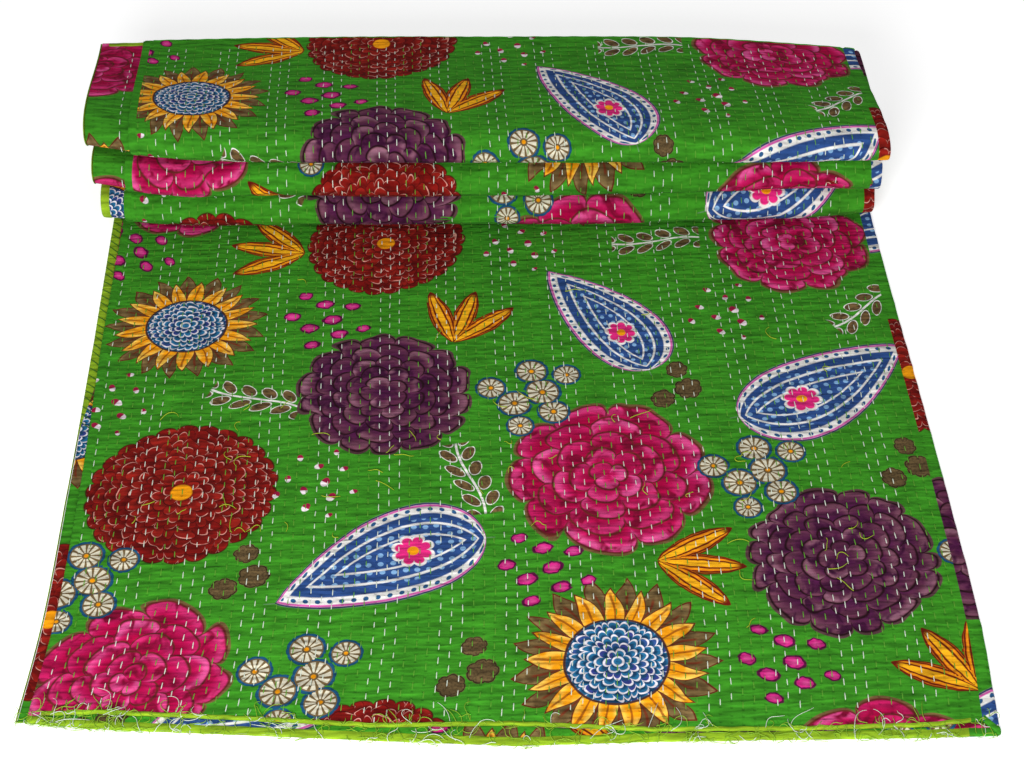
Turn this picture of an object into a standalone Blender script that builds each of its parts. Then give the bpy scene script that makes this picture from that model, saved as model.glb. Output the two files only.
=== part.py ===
"""Kantha quilt, folded in half along its length and pleated back on itself at one end.

The folded cloth is two plies thick. Its middle line runs back along the floor, then turns back
and forth three times into a low stack, and ends in a panel over the stack. Every piece is a
closed loft through cross-sections that stand along that line.
Metres, +Z up. The front hem faces -Y and the long fold is on the +X side.
"""

import math

import bpy
import numpy as np

COLLECTION = "kantha_quilt"
MM = 0.001

# The cloth: two printed layers and a filling layer quilted together.
PLY = 2.6 * MM
PLY_GAP = 1.0 * MM
PIECE_GAP = 0.3 * MM
CLOTH_WIDTH = 2.256
SEAM_FROM_FOLD = 16 * MM
FOLD_RADIUS = (PLY + PLY_GAP) / 2
FLOOR_LINE = PLY_GAP / 2 + PLY

# Running stitch: the white rows lie in groups of three, and each group draws in a channel.
CHANNEL_PITCH = 80 * MM
CHANNEL_COUNT = 13
CHANNEL_HALF = 13 * MM
CHANNEL_DEPTH = 0.7 * MM

# Bindings: a folded strip round the thin edge of a ply.
BINDING_WALL = 0.55 * MM
BINDING_STEP = 0.2 * MM
SIDE_UPPER_WIDTH = 12 * MM
SIDE_LOWER_WIDTH = 10 * MM
FRONT_UPPER_WIDTH = 5 * MM
FRONT_LOWER_WIDTH = 11 * MM
BACK_WIDTH = 9 * MM
TONGUE = PLY - 2 * (BINDING_WALL + PIECE_GAP)
TONGUE_TIP = BINDING_WALL + PIECE_GAP
BINDING_CAPS = ((0, 1, 2, 3), (0, 3, 4, 7), (4, 5, 6, 7))

# Places across the quilt, as distances from the long fold, and what varies from one to the next.
ACROSS = (0.0, 0.08, 0.24, 0.40, 0.56, 0.72, 0.88, 1.04, 1.16)
FRONT_HEM_UPPER = (-0.011, -0.018, -0.018, -0.013, 0.001, 0.004, 0.020, 0.034, 0.034)
FRONT_HEM_LOWER = (-0.031, -0.031, -0.028, -0.025, -0.025, -0.012, 0.002, 0.015, 0.031)
BACK_HEM = (1.141, 1.155, 1.178, 1.187, 1.192, 1.198, 1.201, 1.201, 1.201)
SIDE_LEAN = (0.010, 0.006, 0.0, -0.003, -0.002, 0.0, 0.002, 0.007, 0.020)

# The turns in order, back and front by turns: the tip of each turn at mid width, how round it is,
# its lowest and highest level, and its own tips where a front turn shows.
TURN_COLUMNS = ("tip", "round", "low", "high", "tips")
TURNS = (
    (1.135, 0.020, FLOOR_LINE, 0.0390, None),
    (0.883, 0.035, 0.0108, 0.0595,
     (0.890, 0.884, 0.882, 0.880, 0.883, 0.888, 0.893, 0.900, 0.919)),
    (1.075, 0.020, 0.0465, 0.0825, None),
    (0.881, 0.036, 0.0668, 0.1155,
     (0.875, 0.880, 0.879, 0.878, 0.881, 0.885, 0.893, 0.898, 0.928)),
    (1.160, 0.020, 0.0895, 0.1255, None),
    (0.887, 0.040, 0.1228, 0.1685,
     (0.872, 0.873, 0.875, 0.882, 0.887, 0.893, 0.900, 0.914, 0.944)),
)
BACK_HEM_LEVEL = 0.1405
STRAIGHT_STATIONS = (0.10, 0.25, 0.45, 0.65, 0.85, 1.00)
BACK_TURN_STEPS = 5
FRONT_TURN_STEPS = 7
SLOPE_STEPS = 4
LONG_FOLD_STEPS = 5
MID_WIDTH = 0.56
INNER_PLACES = ACROSS[1:-1]

# The long fold's place from front to back, and how far the lower ply's far edge shows past the
# upper's, each by the distance along the cloth from the front hem.
ALONG = (0.0, 0.12, 0.35, 0.65, 1.10, 1.40, 1.85, 2.30, 2.50, 2.80)
FOLD_SIDE = (0.556, 0.566, 0.570, 0.568, 0.567, 0.566, 0.567, 0.576, 0.568, 0.562)
LOWER_SHOWS = (0.014, 0.016, 0.017, 0.012, 0.018, 0.034, 0.050, 0.066, 0.068, 0.066)

GREEN_PRINT = (0.055, 0.24, 0.02, 1.0)
MIXED_PRINT = (0.16, 0.12, 0.05, 1.0)
LIME = (0.33, 0.58, 0.03, 1.0)
LEAF_GREEN = (0.035, 0.30, 0.014, 1.0)
CLOTH_ROUGHNESS = 0.88


def clear_scene():
    for item in list(bpy.data.objects):
        bpy.data.objects.remove(item, do_unlink=True)


def cloth_material(name, colour):
    material = bpy.data.materials.new(name)
    material.use_nodes = True
    shader = material.node_tree.nodes["Principled BSDF"]
    shader.inputs["Base Color"].default_value = colour
    shader.inputs["Roughness"].default_value = CLOTH_ROUGHNESS
    shader.inputs["Metallic"].default_value = 0.0
    return material


def across(values, distance):
    """A table's value at a distance from the long fold."""
    return np.interp(distance, ACROSS, values)


def along(values, travel):
    """A table's value at a distance along the cloth from the front hem."""
    return np.interp(travel, ALONG, values)


# The middle line of the folded cloth, as (y, z) points.


def faces_back(index):
    return index % 2 == 0


def turn_at(index, distance):
    """A turn's tip, roundness, lowest and highest level at a distance from the long fold."""
    turn = dict(zip(TURN_COLUMNS, TURNS[index]))
    if turn["tips"] is None:
        tip = turn["tip"] + across(SIDE_LEAN, distance)
    else:
        tip = across(turn["tips"], distance)
    return tip, turn["round"], turn["low"], turn["high"]


def half_turn(index, distance):
    """Points and headings of a half ellipse from a turn's lowest level to its highest."""
    tip, width, low, high = turn_at(index, distance)
    side = 1.0 if faces_back(index) else -1.0
    steps = BACK_TURN_STEPS if faces_back(index) else FRONT_TURN_STEPS
    angle = np.linspace(-math.pi / 2, math.pi / 2, steps + 1)
    tall = (high - low) / 2
    y = tip - side * width * (1.0 - np.cos(angle))
    z = low + tall * (1.0 + np.sin(angle))
    heading = np.stack([-side * width * np.sin(angle), tall * np.cos(angle)], 1)
    return np.stack([y, z], 1), heading


def easy_slope(start, end):
    """Points and headings of an easy slope between two level ends, the ends left out."""
    part = np.linspace(0.0, 1.0, SLOPE_STEPS + 1)[1:-1]
    run, rise = end - start
    y = start[0] + run * part
    z = start[1] + rise * part * part * (3.0 - 2.0 * part)
    heading = np.stack([np.full_like(part, run), rise * 6.0 * part * (1.0 - part)], 1)
    return np.stack([y, z], 1), heading


def level_run(places, level):
    """Points and headings of a level run towards the back."""
    points = np.stack([places, np.full_like(places, level)], 1)
    return points, np.tile((1.0, 0.0), (len(places), 1))


def middle_line(distance, front, back):
    """The middle line's points and normals, from level places in front to level places behind."""
    pieces = [level_run(np.concatenate([front, STRAIGHT_STATIONS]), FLOOR_LINE)]
    for index in range(len(TURNS)):
        turn = half_turn(index, distance)
        if index > 0:
            pieces.append(easy_slope(pieces[-1][0][-1], turn[0][0]))
        pieces.append(turn)
    end = level_run(back, BACK_HEM_LEVEL)
    pieces.append(easy_slope(pieces[-1][0][-1], end[0][0]))
    pieces.append(end)
    points, heading = (np.concatenate(part) for part in zip(*pieces))
    heading = heading / np.linalg.norm(heading, axis=1)[:, None]
    return points, np.stack([-heading[:, 1], heading[:, 0]], 1)


def travel_of(front_offsets, back_offsets):
    """The distance along the cloth of each station, taken at mid width."""
    front = across(FRONT_HEM_UPPER, MID_WIDTH) + front_offsets
    back = across(BACK_HEM, MID_WIDTH) - back_offsets
    points, _ = middle_line(MID_WIDTH, front, back)
    steps = np.linalg.norm(np.diff(points, axis=0), axis=1)
    return front[0] + np.concatenate([[0.0], np.cumsum(steps)])


# The cross-section of the doubled cloth. A place across the cloth is its distance along the ply
# from the start of the long fold: negative on the upper ply, positive round the fold and below.


def upper_place(distance):
    return FOLD_RADIUS - distance


def lower_place(distance):
    return math.pi * FOLD_RADIUS + distance - FOLD_RADIUS


def round_fold(place, lift):
    """Sideways place from the long fold's edge, and level from the middle line."""
    angle = np.clip(place / FOLD_RADIUS, 0.0, math.pi)
    past = np.maximum(place - math.pi * FOLD_RADIUS, 0.0)
    before = np.minimum(place, 0.0)
    radius = FOLD_RADIUS + lift
    return before - past - FOLD_RADIUS + radius * np.sin(angle), radius * np.cos(angle)


def fold_distance(place):
    """Distance of a place from the long fold, the same for both plies."""
    upper = FOLD_RADIUS - place
    lower = place - (math.pi - 1.0) * FOLD_RADIUS
    return np.where(place < 0.0, upper, np.where(lower > FOLD_RADIUS, lower, 0.0))


def upper_edge(travel):
    return (CLOTH_WIDTH - along(LOWER_SHOWS, travel)) / 2


def lower_edge(travel):
    return (CLOTH_WIDTH + along(LOWER_SHOWS, travel)) / 2


def front_hem(place):
    """Where the front hem lies; past the seam it slants to the lower ply's hem at the fold."""
    seam = upper_place(SEAM_FROM_FOLD)
    strip = np.interp(
        place,
        (seam, 0.0),
        (across(FRONT_HEM_UPPER, SEAM_FROM_FOLD), across(FRONT_HEM_LOWER, 0.0)),
    )
    upper = across(FRONT_HEM_UPPER, fold_distance(place))
    lower = across(FRONT_HEM_LOWER, fold_distance(place))
    return np.where(place < seam, upper, np.where(place < 0.0, strip, lower))


def back_hem(place):
    return across(BACK_HEM, fold_distance(place))


# Lofts.


def loft(name, rings, caps, collection, material):
    """One closed body through rings of points; caps are faces over one ring, as its indices."""
    count, size = rings.shape[:2]
    index = np.arange(count * size).reshape(count, size)
    onward = np.roll(index, -1, axis=1)
    sides = np.stack([index[:-1], index[1:], onward[1:], onward[:-1]], 2).reshape(-1, 4)
    first = [list(face) for face in caps]
    last = [[int(index[-1, point]) for point in reversed(face)] for face in caps]
    mesh = bpy.data.meshes.new(name)
    mesh.from_pydata(rings.reshape(-1, 3).tolist(), [], sides.tolist() + first + last)
    mesh.materials.append(material)
    collection.objects.link(bpy.data.objects.new(name, mesh))
    face_outward(mesh)


def strip_caps(places, outer_count):
    """Triangles between an outline's outer row and its inner row, which runs back."""
    outer = list(range(outer_count))
    inner = list(range(len(places) - 1, outer_count - 1, -1))
    faces = []
    while len(outer) > 1 or len(inner) > 1:
        next_outer = places[outer[1]] if len(outer) > 1 else math.inf
        next_inner = places[inner[1]] if len(inner) > 1 else math.inf
        if next_outer <= next_inner:
            faces.append((outer[0], outer[1], inner[0]))
            outer.pop(0)
        else:
            faces.append((outer[0], inner[1], inner[0]))
            inner.pop(0)
    return faces


def face_outward(mesh):
    """Turn a closed mesh's faces out, by the sign of its volume."""
    mesh.calc_loop_triangles()
    corners = np.zeros(len(mesh.loop_triangles) * 3, np.int32)
    mesh.loop_triangles.foreach_get("vertices", corners)
    a, b, c = read_points(mesh)[corners.reshape(-1, 3)].transpose(1, 0, 2)
    if np.einsum("ij,ij->", a, np.cross(b, c)) < 0.0:
        mesh.flip_normals()


def line_under(places, front_offsets, back_offsets):
    """The middle line below one outline row, whose place may change from station to station."""
    lines = {}
    for place in sorted(set(places.tolist())):
        lines[place] = middle_line(
            float(fold_distance(place)),
            front_hem(place) + front_offsets,
            back_hem(place) - back_offsets,
        )
    picked = [(lines[place][0][row], lines[place][1][row]) for row, place in enumerate(places.tolist())]
    points, normal = zip(*picked)
    return np.array(points), np.array(normal)


def outline_places(outline, edge, travel):
    """Where each outline row lies across the cloth at each station."""
    rows = [place if inset is None else edge(travel, inset) for place, inset, _, _ in outline]
    return np.stack([np.broadcast_to(row, travel.shape) for row in rows], 1)


def panel_rings(outline, edge, front_width, flush):
    """Cross-sections of a piece that runs the cloth's whole length.

    An outline row is a place across the cloth or an inset from the ply's far edge, and its lift
    from the ply's middle, in the open and inside the front and back bindings.
    """
    front_offsets, front_thin = end_stations(front_width, flush)
    back_offsets, back_thin = (part[::-1] for part in end_stations(BACK_WIDTH, flush))
    travel = travel_of(front_offsets, back_offsets)
    thin = np.zeros(len(travel), bool)
    thin[: len(front_thin)] = front_thin
    thin[-len(back_thin) :] = back_thin
    places = outline_places(outline, edge, travel)
    rings = np.empty((len(travel), len(outline), 3))
    for column, (_, _, lift, thin_lift) in enumerate(outline):
        points, normal = line_under(places[:, column], front_offsets, back_offsets)
        x, level = round_fold(places[:, column], np.where(thin, thin_lift, lift))
        rings[:, column, 0] = along(FOLD_SIDE, travel) + x
        rings[:, column, 1:] = points + normal * level[:, None]
    return rings, places[0]


def end_stations(width, flush):
    """Stations inside a front or back binding, from the hem inwards, and which ones are thin."""
    offsets = [TONGUE_TIP, width + PIECE_GAP, width + PIECE_GAP + BINDING_STEP]
    thin = [True, True, False]
    if flush:
        offsets.insert(0, 0.0)
        thin.insert(0, True)
    return np.array(offsets), np.array(thin)


def upper_inset(travel, inset):
    return upper_place(upper_edge(travel) - inset)


def lower_inset(travel, inset):
    return lower_place(lower_edge(travel) - inset)


def tongue_rows(width, side):
    """The thin edge of a ply inside its side binding, from the edge inwards."""
    thin = side * TONGUE / 2
    full = side * PLY / 2
    return [
        (None, TONGUE_TIP, thin, thin),
        (None, width + PIECE_GAP, thin, thin),
        (None, width + PIECE_GAP + BINDING_STEP, full, thin),
    ]


def face_rows(places, side):
    return [(place, None, side * PLY / 2, side * TONGUE / 2) for place in places]


def channel_rows(distance):
    """A quilted channel: the face dips to the white stitches and rises again."""
    dip = PLY / 2 - CHANNEL_DEPTH
    return [
        *face_rows([upper_place(distance + CHANNEL_HALF)], 1.0),
        (upper_place(distance), None, dip, TONGUE / 2),
        *face_rows([upper_place(distance - CHANNEL_HALF)], 1.0),
    ]


def main_outline():
    """The upper ply, from its side binding to the seam and back along its inner face."""
    outer = tongue_rows(SIDE_UPPER_WIDTH, 1.0)
    for number in range(CHANNEL_COUNT, 0, -1):
        outer += channel_rows(number * CHANNEL_PITCH)
    outer += face_rows([upper_place(SEAM_FROM_FOLD)], 1.0)
    inner = tongue_rows(SIDE_UPPER_WIDTH, -1.0)
    inner += face_rows([upper_place(distance) for distance in reversed(INNER_PLACES)], -1.0)
    inner += face_rows([upper_place(SEAM_FROM_FOLD)], -1.0)
    return outer + inner[::-1], len(outer)


def second_places():
    """Places from the seam, round the long fold and along the lower ply."""
    seam = [upper_place(SEAM_FROM_FOLD - PIECE_GAP)]
    fold = np.linspace(0.0, math.pi * FOLD_RADIUS, LONG_FOLD_STEPS + 1).tolist()
    return seam + fold + [lower_place(distance) for distance in INNER_PLACES]


def second_outline():
    """The seam's other side, the long fold and the lower ply, and back along the inner face."""
    outer = face_rows(second_places(), 1.0) + tongue_rows(SIDE_LOWER_WIDTH, 1.0)[::-1]
    inner = face_rows(second_places(), -1.0) + tongue_rows(SIDE_LOWER_WIDTH, -1.0)[::-1]
    return outer + inner[::-1], len(outer)


def binding_section(width):
    """A folded strip's section: how far in from the hem, and the lift from the ply's middle."""
    half = PLY / 2
    inside = half - BINDING_WALL
    return [
        (0.0, half),
        (width, half),
        (width, inside),
        (BINDING_WALL, inside),
        (BINDING_WALL, -inside),
        (width, -inside),
        (width, -half),
        (0.0, -half),
    ]


def panel(name, rows, edge, front_width, collection, material):
    outline, outer_count = rows
    rings, places = panel_rings(outline, edge, front_width, False)
    loft(name, rings, strip_caps(places, outer_count), collection, material)


def side_binding(name, edge, side_width, front_width, collection, material):
    outline = [(None, inset, lift, lift) for inset, lift in binding_section(side_width)]
    rings, _ = panel_rings(outline, edge, front_width, True)
    loft(name, rings, BINDING_CAPS, collection, material)


def hem_rings(places, section, hem, inward, level, start):
    """Cross-sections of a front or back binding, one at each place across the cloth."""
    inset, lift = np.array(section).T
    rings = np.empty((len(places), len(section), 3))
    for row, place in enumerate(places):
        x, height = round_fold(place, lift)
        rings[row, :, 0] = along(FOLD_SIDE, start + inward * inset) + x
        rings[row, :, 1] = hem(place) + inward * inset
        rings[row, :, 2] = level + height
    return rings


def hem_bindings(collection, lime):
    """The front and back bindings of both plies, between the side bindings and the seam."""
    ends = (
        ("front", front_hem, 1.0, FLOOR_LINE, 0.0, FRONT_UPPER_WIDTH, FRONT_LOWER_WIDTH),
        ("back", back_hem, -1.0, BACK_HEM_LEVEL, cloth_length(), BACK_WIDTH, BACK_WIDTH),
    )
    for end, hem, inward, level, start, upper_width, lower_width in ends:
        inner = [upper_place(distance) for distance in reversed(INNER_PLACES)]
        corner = float(upper_inset(start, SIDE_UPPER_WIDTH + PIECE_GAP))
        upper = [corner, *inner, upper_place(SEAM_FROM_FOLD)]
        corner = float(lower_inset(start, SIDE_LOWER_WIDTH + PIECE_GAP))
        lower = [*second_places(), corner]
        for name, places, width in (("upper", upper, upper_width), ("lower", lower, lower_width)):
            rings = hem_rings(places, binding_section(width), hem, inward, level, start)
            loft(f"binding_{end}_{name}", rings, BINDING_CAPS, collection, lime)


def cloth_length():
    return float(travel_of(np.zeros(1), np.zeros(1))[-1])


def centre_on_floor(collection):
    """Move every piece so that the quilt stands on the origin's floor, centred."""
    points = [read_points(item.data) for item in collection.objects]
    everything = np.concatenate(points)
    low, high = everything.min(axis=0), everything.max(axis=0)
    shift = np.array([(low[0] + high[0]) / 2, (low[1] + high[1]) / 2, low[2]])
    for item, place in zip(collection.objects, points):
        item.data.vertices.foreach_set("co", (place - shift).ravel())
        item.data.update()


def read_points(mesh):
    points = np.zeros(len(mesh.vertices) * 3)
    mesh.vertices.foreach_get("co", points)
    return points.reshape(-1, 3)


def build_quilt():
    collection = bpy.data.collections.new(COLLECTION)
    bpy.context.scene.collection.children.link(collection)
    main_print = cloth_material("main_print", GREEN_PRINT)
    second_print = cloth_material("second_print", MIXED_PRINT)
    lime = cloth_material("lime_binding", LIME)
    leaf_green = cloth_material("leaf_green_binding", LEAF_GREEN)
    panel("quilt_panel_main", main_outline(), upper_inset, FRONT_UPPER_WIDTH,
          collection, main_print)
    panel("quilt_panel_second", second_outline(), lower_inset, FRONT_LOWER_WIDTH,
          collection, second_print)
    side_binding("binding_side_upper", upper_inset, SIDE_UPPER_WIDTH, FRONT_UPPER_WIDTH,
                 collection, leaf_green)
    side_binding("binding_side_lower", lower_inset, SIDE_LOWER_WIDTH, FRONT_LOWER_WIDTH,
                 collection, lime)
    hem_bindings(collection, lime)
    centre_on_floor(collection)


clear_scene()
build_quilt()
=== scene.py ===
"""Looks of a kantha quilt: folded in half along its length, with its far part pleated into a stack.

The cloth is drawn as its own sheets. Each sheet is a grid over two measures of the cloth: how far
a point lies from the long fold, and how far it lies along the cloth from the front hem. A middle
line carries the grid through the pleats, and the print, the stitches and the puckers are all laid
out in the same two measures. Metres, +Z up, front hem towards -Y, long fold towards +X.
"""

import logging
import math
from collections.abc import Callable, Iterable, Sequence
from dataclasses import dataclass
from enum import Enum

import bpy
import numpy as np
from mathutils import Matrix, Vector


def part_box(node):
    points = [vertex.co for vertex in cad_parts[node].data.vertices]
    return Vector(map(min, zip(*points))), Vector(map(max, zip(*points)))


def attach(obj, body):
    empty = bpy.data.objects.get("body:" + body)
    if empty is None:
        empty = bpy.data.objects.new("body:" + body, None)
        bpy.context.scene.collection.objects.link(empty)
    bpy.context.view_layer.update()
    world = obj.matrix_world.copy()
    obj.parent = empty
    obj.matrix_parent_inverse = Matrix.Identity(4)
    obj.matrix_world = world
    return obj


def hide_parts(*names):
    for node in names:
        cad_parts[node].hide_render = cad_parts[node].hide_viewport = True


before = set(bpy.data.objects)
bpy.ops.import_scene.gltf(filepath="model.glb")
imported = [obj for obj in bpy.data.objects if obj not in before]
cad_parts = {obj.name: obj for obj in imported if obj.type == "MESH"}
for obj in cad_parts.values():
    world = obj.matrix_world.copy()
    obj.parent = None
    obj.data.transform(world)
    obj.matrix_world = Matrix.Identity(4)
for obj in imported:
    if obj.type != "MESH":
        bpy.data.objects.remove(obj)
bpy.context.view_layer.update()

LOG = logging.getLogger("kantha_quilt")
MM = 0.001
SEED = 11

Numbers = np.ndarray
Colour = tuple[float, float, float, float]

# ---------------------------------------------------------------------------------------------
# Sizes, the same as the solids'.

PLY = 2.6 * MM
PLY_GAP = 1.0 * MM
CLOTH_WIDTH = 2.256
SEAM_FROM_FOLD = 16 * MM
FOLD_RADIUS = (PLY + PLY_GAP) / 2
FLOOR_LINE = PLY_GAP / 2 + PLY
SIDE_UPPER_WIDTH = 12 * MM
SIDE_LOWER_WIDTH = 10 * MM
FRONT_UPPER_WIDTH = 5 * MM
FRONT_LOWER_WIDTH = 11 * MM
BACK_WIDTH = 9 * MM
BACK_HEM_LEVEL = 0.1405
MID_WIDTH = 0.56

ACROSS = (0.0, 0.08, 0.24, 0.40, 0.56, 0.72, 0.88, 1.04, 1.16)
FRONT_HEM_UPPER = (-0.011, -0.018, -0.018, -0.013, 0.001, 0.004, 0.020, 0.034, 0.034)
FRONT_HEM_LOWER = (-0.031, -0.031, -0.028, -0.025, -0.025, -0.012, 0.002, 0.015, 0.031)
BACK_HEM = (1.141, 1.155, 1.178, 1.187, 1.192, 1.198, 1.201, 1.201, 1.201)
SIDE_LEAN = (0.010, 0.006, 0.0, -0.003, -0.002, 0.0, 0.002, 0.007, 0.020)

ALONG = (0.0, 0.12, 0.35, 0.65, 1.10, 1.40, 1.85, 2.30, 2.50, 2.80)
FOLD_SIDE = (0.556, 0.566, 0.570, 0.568, 0.567, 0.566, 0.567, 0.576, 0.568, 0.562)
LOWER_SHOWS = (0.014, 0.016, 0.017, 0.012, 0.018, 0.034, 0.050, 0.066, 0.068, 0.066)


@dataclass(frozen=True)
class Turn:
    """One turn of the pleats.

    Args:
        tip: Where the turn ends, at mid width.
        depth: How deep the half ellipse is.
        low: Level where the turn starts.
        high: Level where it ends.
        tips: The tip at each place of ACROSS, or None where it leans as SIDE_LEAN says.
    """

    tip: float
    depth: float
    low: float
    high: float
    tips: tuple[float, ...] | None = None


TURNS = (
    Turn(1.135, 0.020, FLOOR_LINE, 0.0390),
    Turn(0.883, 0.035, 0.0108, 0.0595, (0.890, 0.884, 0.882, 0.880, 0.883, 0.888, 0.893, 0.900, 0.919)),
    Turn(1.075, 0.020, 0.0465, 0.0825),
    Turn(0.881, 0.036, 0.0668, 0.1155, (0.875, 0.880, 0.879, 0.878, 0.881, 0.885, 0.893, 0.898, 0.928)),
    Turn(1.160, 0.020, 0.0895, 0.1255),
    Turn(0.887, 0.040, 0.1228, 0.1685, (0.872, 0.873, 0.875, 0.882, 0.887, 0.893, 0.900, 0.914, 0.944)),
)

# ---------------------------------------------------------------------------------------------
# Sewing.

ROW_PITCH = 80 * MM / 6
STITCH_PITCH = 21 * MM
STITCH_LENGTH = 11.5 * MM
GOLDEN = 0.6180339887
PRINT_WIDTH = 1.143
PRINT_REPEAT = 0.935


def smooth_table(places: Sequence[float], values: Sequence[float], at: Numbers) -> Numbers:
    """A table's value at any place, on a smooth line through its rows.

    Args:
        places: The table's places, rising.
        values: The value at each place.
        at: Where the value is wanted, of any shape.

    Returns:
        The values, on cubic pieces whose slope at a row is that of the rows beside it.
    """
    x, y = np.asarray(places, float), np.asarray(values, float)
    gradient = np.gradient(y, x)
    at = np.clip(at, x[0], x[-1])
    row = np.clip(np.searchsorted(x, at, side="right") - 1, 0, len(x) - 2)
    step = x[row + 1] - x[row]
    part = (at - x[row]) / step
    rest = 1.0 - part
    return (
        y[row] * rest * rest * (1.0 + 2.0 * part)
        + y[row + 1] * part * part * (3.0 - 2.0 * part)
        + step * part * rest * (gradient[row] * rest - gradient[row + 1] * part)
    )


def ease(low: float, high: float, value: Numbers) -> Numbers:
    """A soft step from 0 at low to 1 at high, which may be the smaller of the two."""
    part = np.clip((value - low) / (high - low), 0.0, 1.0)
    return part * part * (3.0 - 2.0 * part)


class Ruffle:
    """Soft random heights: values at the crossings of a lattice, joined by soft steps.

    Args:
        seed: What the random values start from.
        across: Lattice step across the cloth.
        along: Lattice step along the cloth.
    """

    SIDE = 257

    def __init__(self, seed: int, across: float, along: float) -> None:
        self.table = np.random.default_rng(seed).uniform(-1.0, 1.0, (self.SIDE, self.SIDE))
        self.across = across
        self.along = along

    def __call__(self, across: Numbers, along: Numbers) -> Numbers:
        """Heights from -1 to 1 at places of the cloth."""
        x, y = across / self.across, along / self.along
        column, row = np.floor(x).astype(int), np.floor(y).astype(int)
        part_x, part_y = ease(0.0, 1.0, x - column), ease(0.0, 1.0, y - row)
        left, right = column % self.SIDE, (column + 1) % self.SIDE
        near, far = row % self.SIDE, (row + 1) % self.SIDE
        front = self.table[near, left] * (1 - part_x) + self.table[near, right] * part_x
        back = self.table[far, left] * (1 - part_x) + self.table[far, right] * part_x
        return front * (1 - part_y) + back * part_y


# ---------------------------------------------------------------------------------------------
# The folded cloth.


class Stretch(Enum):
    """The kinds of stretch that the middle line is made of."""

    RUN = "level run along the floor"
    TURN = "half ellipse"
    SLOPE = "easy slope to the next turn or to the back hem"


@dataclass(frozen=True)
class Rows:
    """Grid rows over a part of one stretch of the middle line.

    Args:
        stretch: What kind of stretch they are on.
        index: The turn's number, or for a slope the turn that it leaves.
        start: The first row's part of the stretch, from 0 to 1.
        end: The last row's part.
        count: How many rows.
    """

    stretch: Stretch
    index: int
    start: float
    end: float
    count: int


def front_hem(place: Numbers) -> Numbers:
    """Where the front hem lies: the upper ply's hem, then on a slant to the lower ply's."""
    seam = FOLD_RADIUS - SEAM_FROM_FOLD
    distance = fold_distance(place)
    upper = np.interp(distance, ACROSS, FRONT_HEM_UPPER)
    lower = np.interp(distance, ACROSS, FRONT_HEM_LOWER)
    ends = (np.interp(SEAM_FROM_FOLD, ACROSS, FRONT_HEM_UPPER), FRONT_HEM_LOWER[0])
    strip = np.interp(place, (seam, 0.0), ends)
    return np.where(place < seam, upper, np.where(place < 0.0, strip, lower))


def fold_distance(place: Numbers) -> Numbers:
    """Distance from the long fold of a place across the cloth, the same for both plies."""
    upper = FOLD_RADIUS - place
    lower = place - (math.pi - 1.0) * FOLD_RADIUS
    return np.where(place < 0.0, upper, np.where(lower > FOLD_RADIUS, lower, 0.0))


def round_fold(place: Numbers, lift: Numbers) -> tuple[Numbers, Numbers]:
    """Sideways place from the long fold's edge, and level from the middle line."""
    angle = np.clip(place / FOLD_RADIUS, 0.0, math.pi)
    past = np.maximum(place - math.pi * FOLD_RADIUS, 0.0)
    before = np.minimum(place, 0.0)
    radius = FOLD_RADIUS + lift
    return before - past - FOLD_RADIUS + radius * np.sin(angle), radius * np.cos(angle)


def upper_edge(travel: Numbers) -> Numbers:
    """Distance of the upper ply's far edge from the long fold."""
    return (CLOTH_WIDTH - np.interp(travel, ALONG, LOWER_SHOWS)) / 2


def lower_edge(travel: Numbers) -> Numbers:
    """Distance of the lower ply's far edge from the long fold."""
    return (CLOTH_WIDTH + np.interp(travel, ALONG, LOWER_SHOWS)) / 2


def upper_place(distance: Numbers) -> Numbers:
    """Place across the cloth on the upper ply."""
    return FOLD_RADIUS - distance


def lower_place(distance: Numbers) -> Numbers:
    """Place across the cloth on the lower ply."""
    return (math.pi - 1.0) * FOLD_RADIUS + distance


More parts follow.
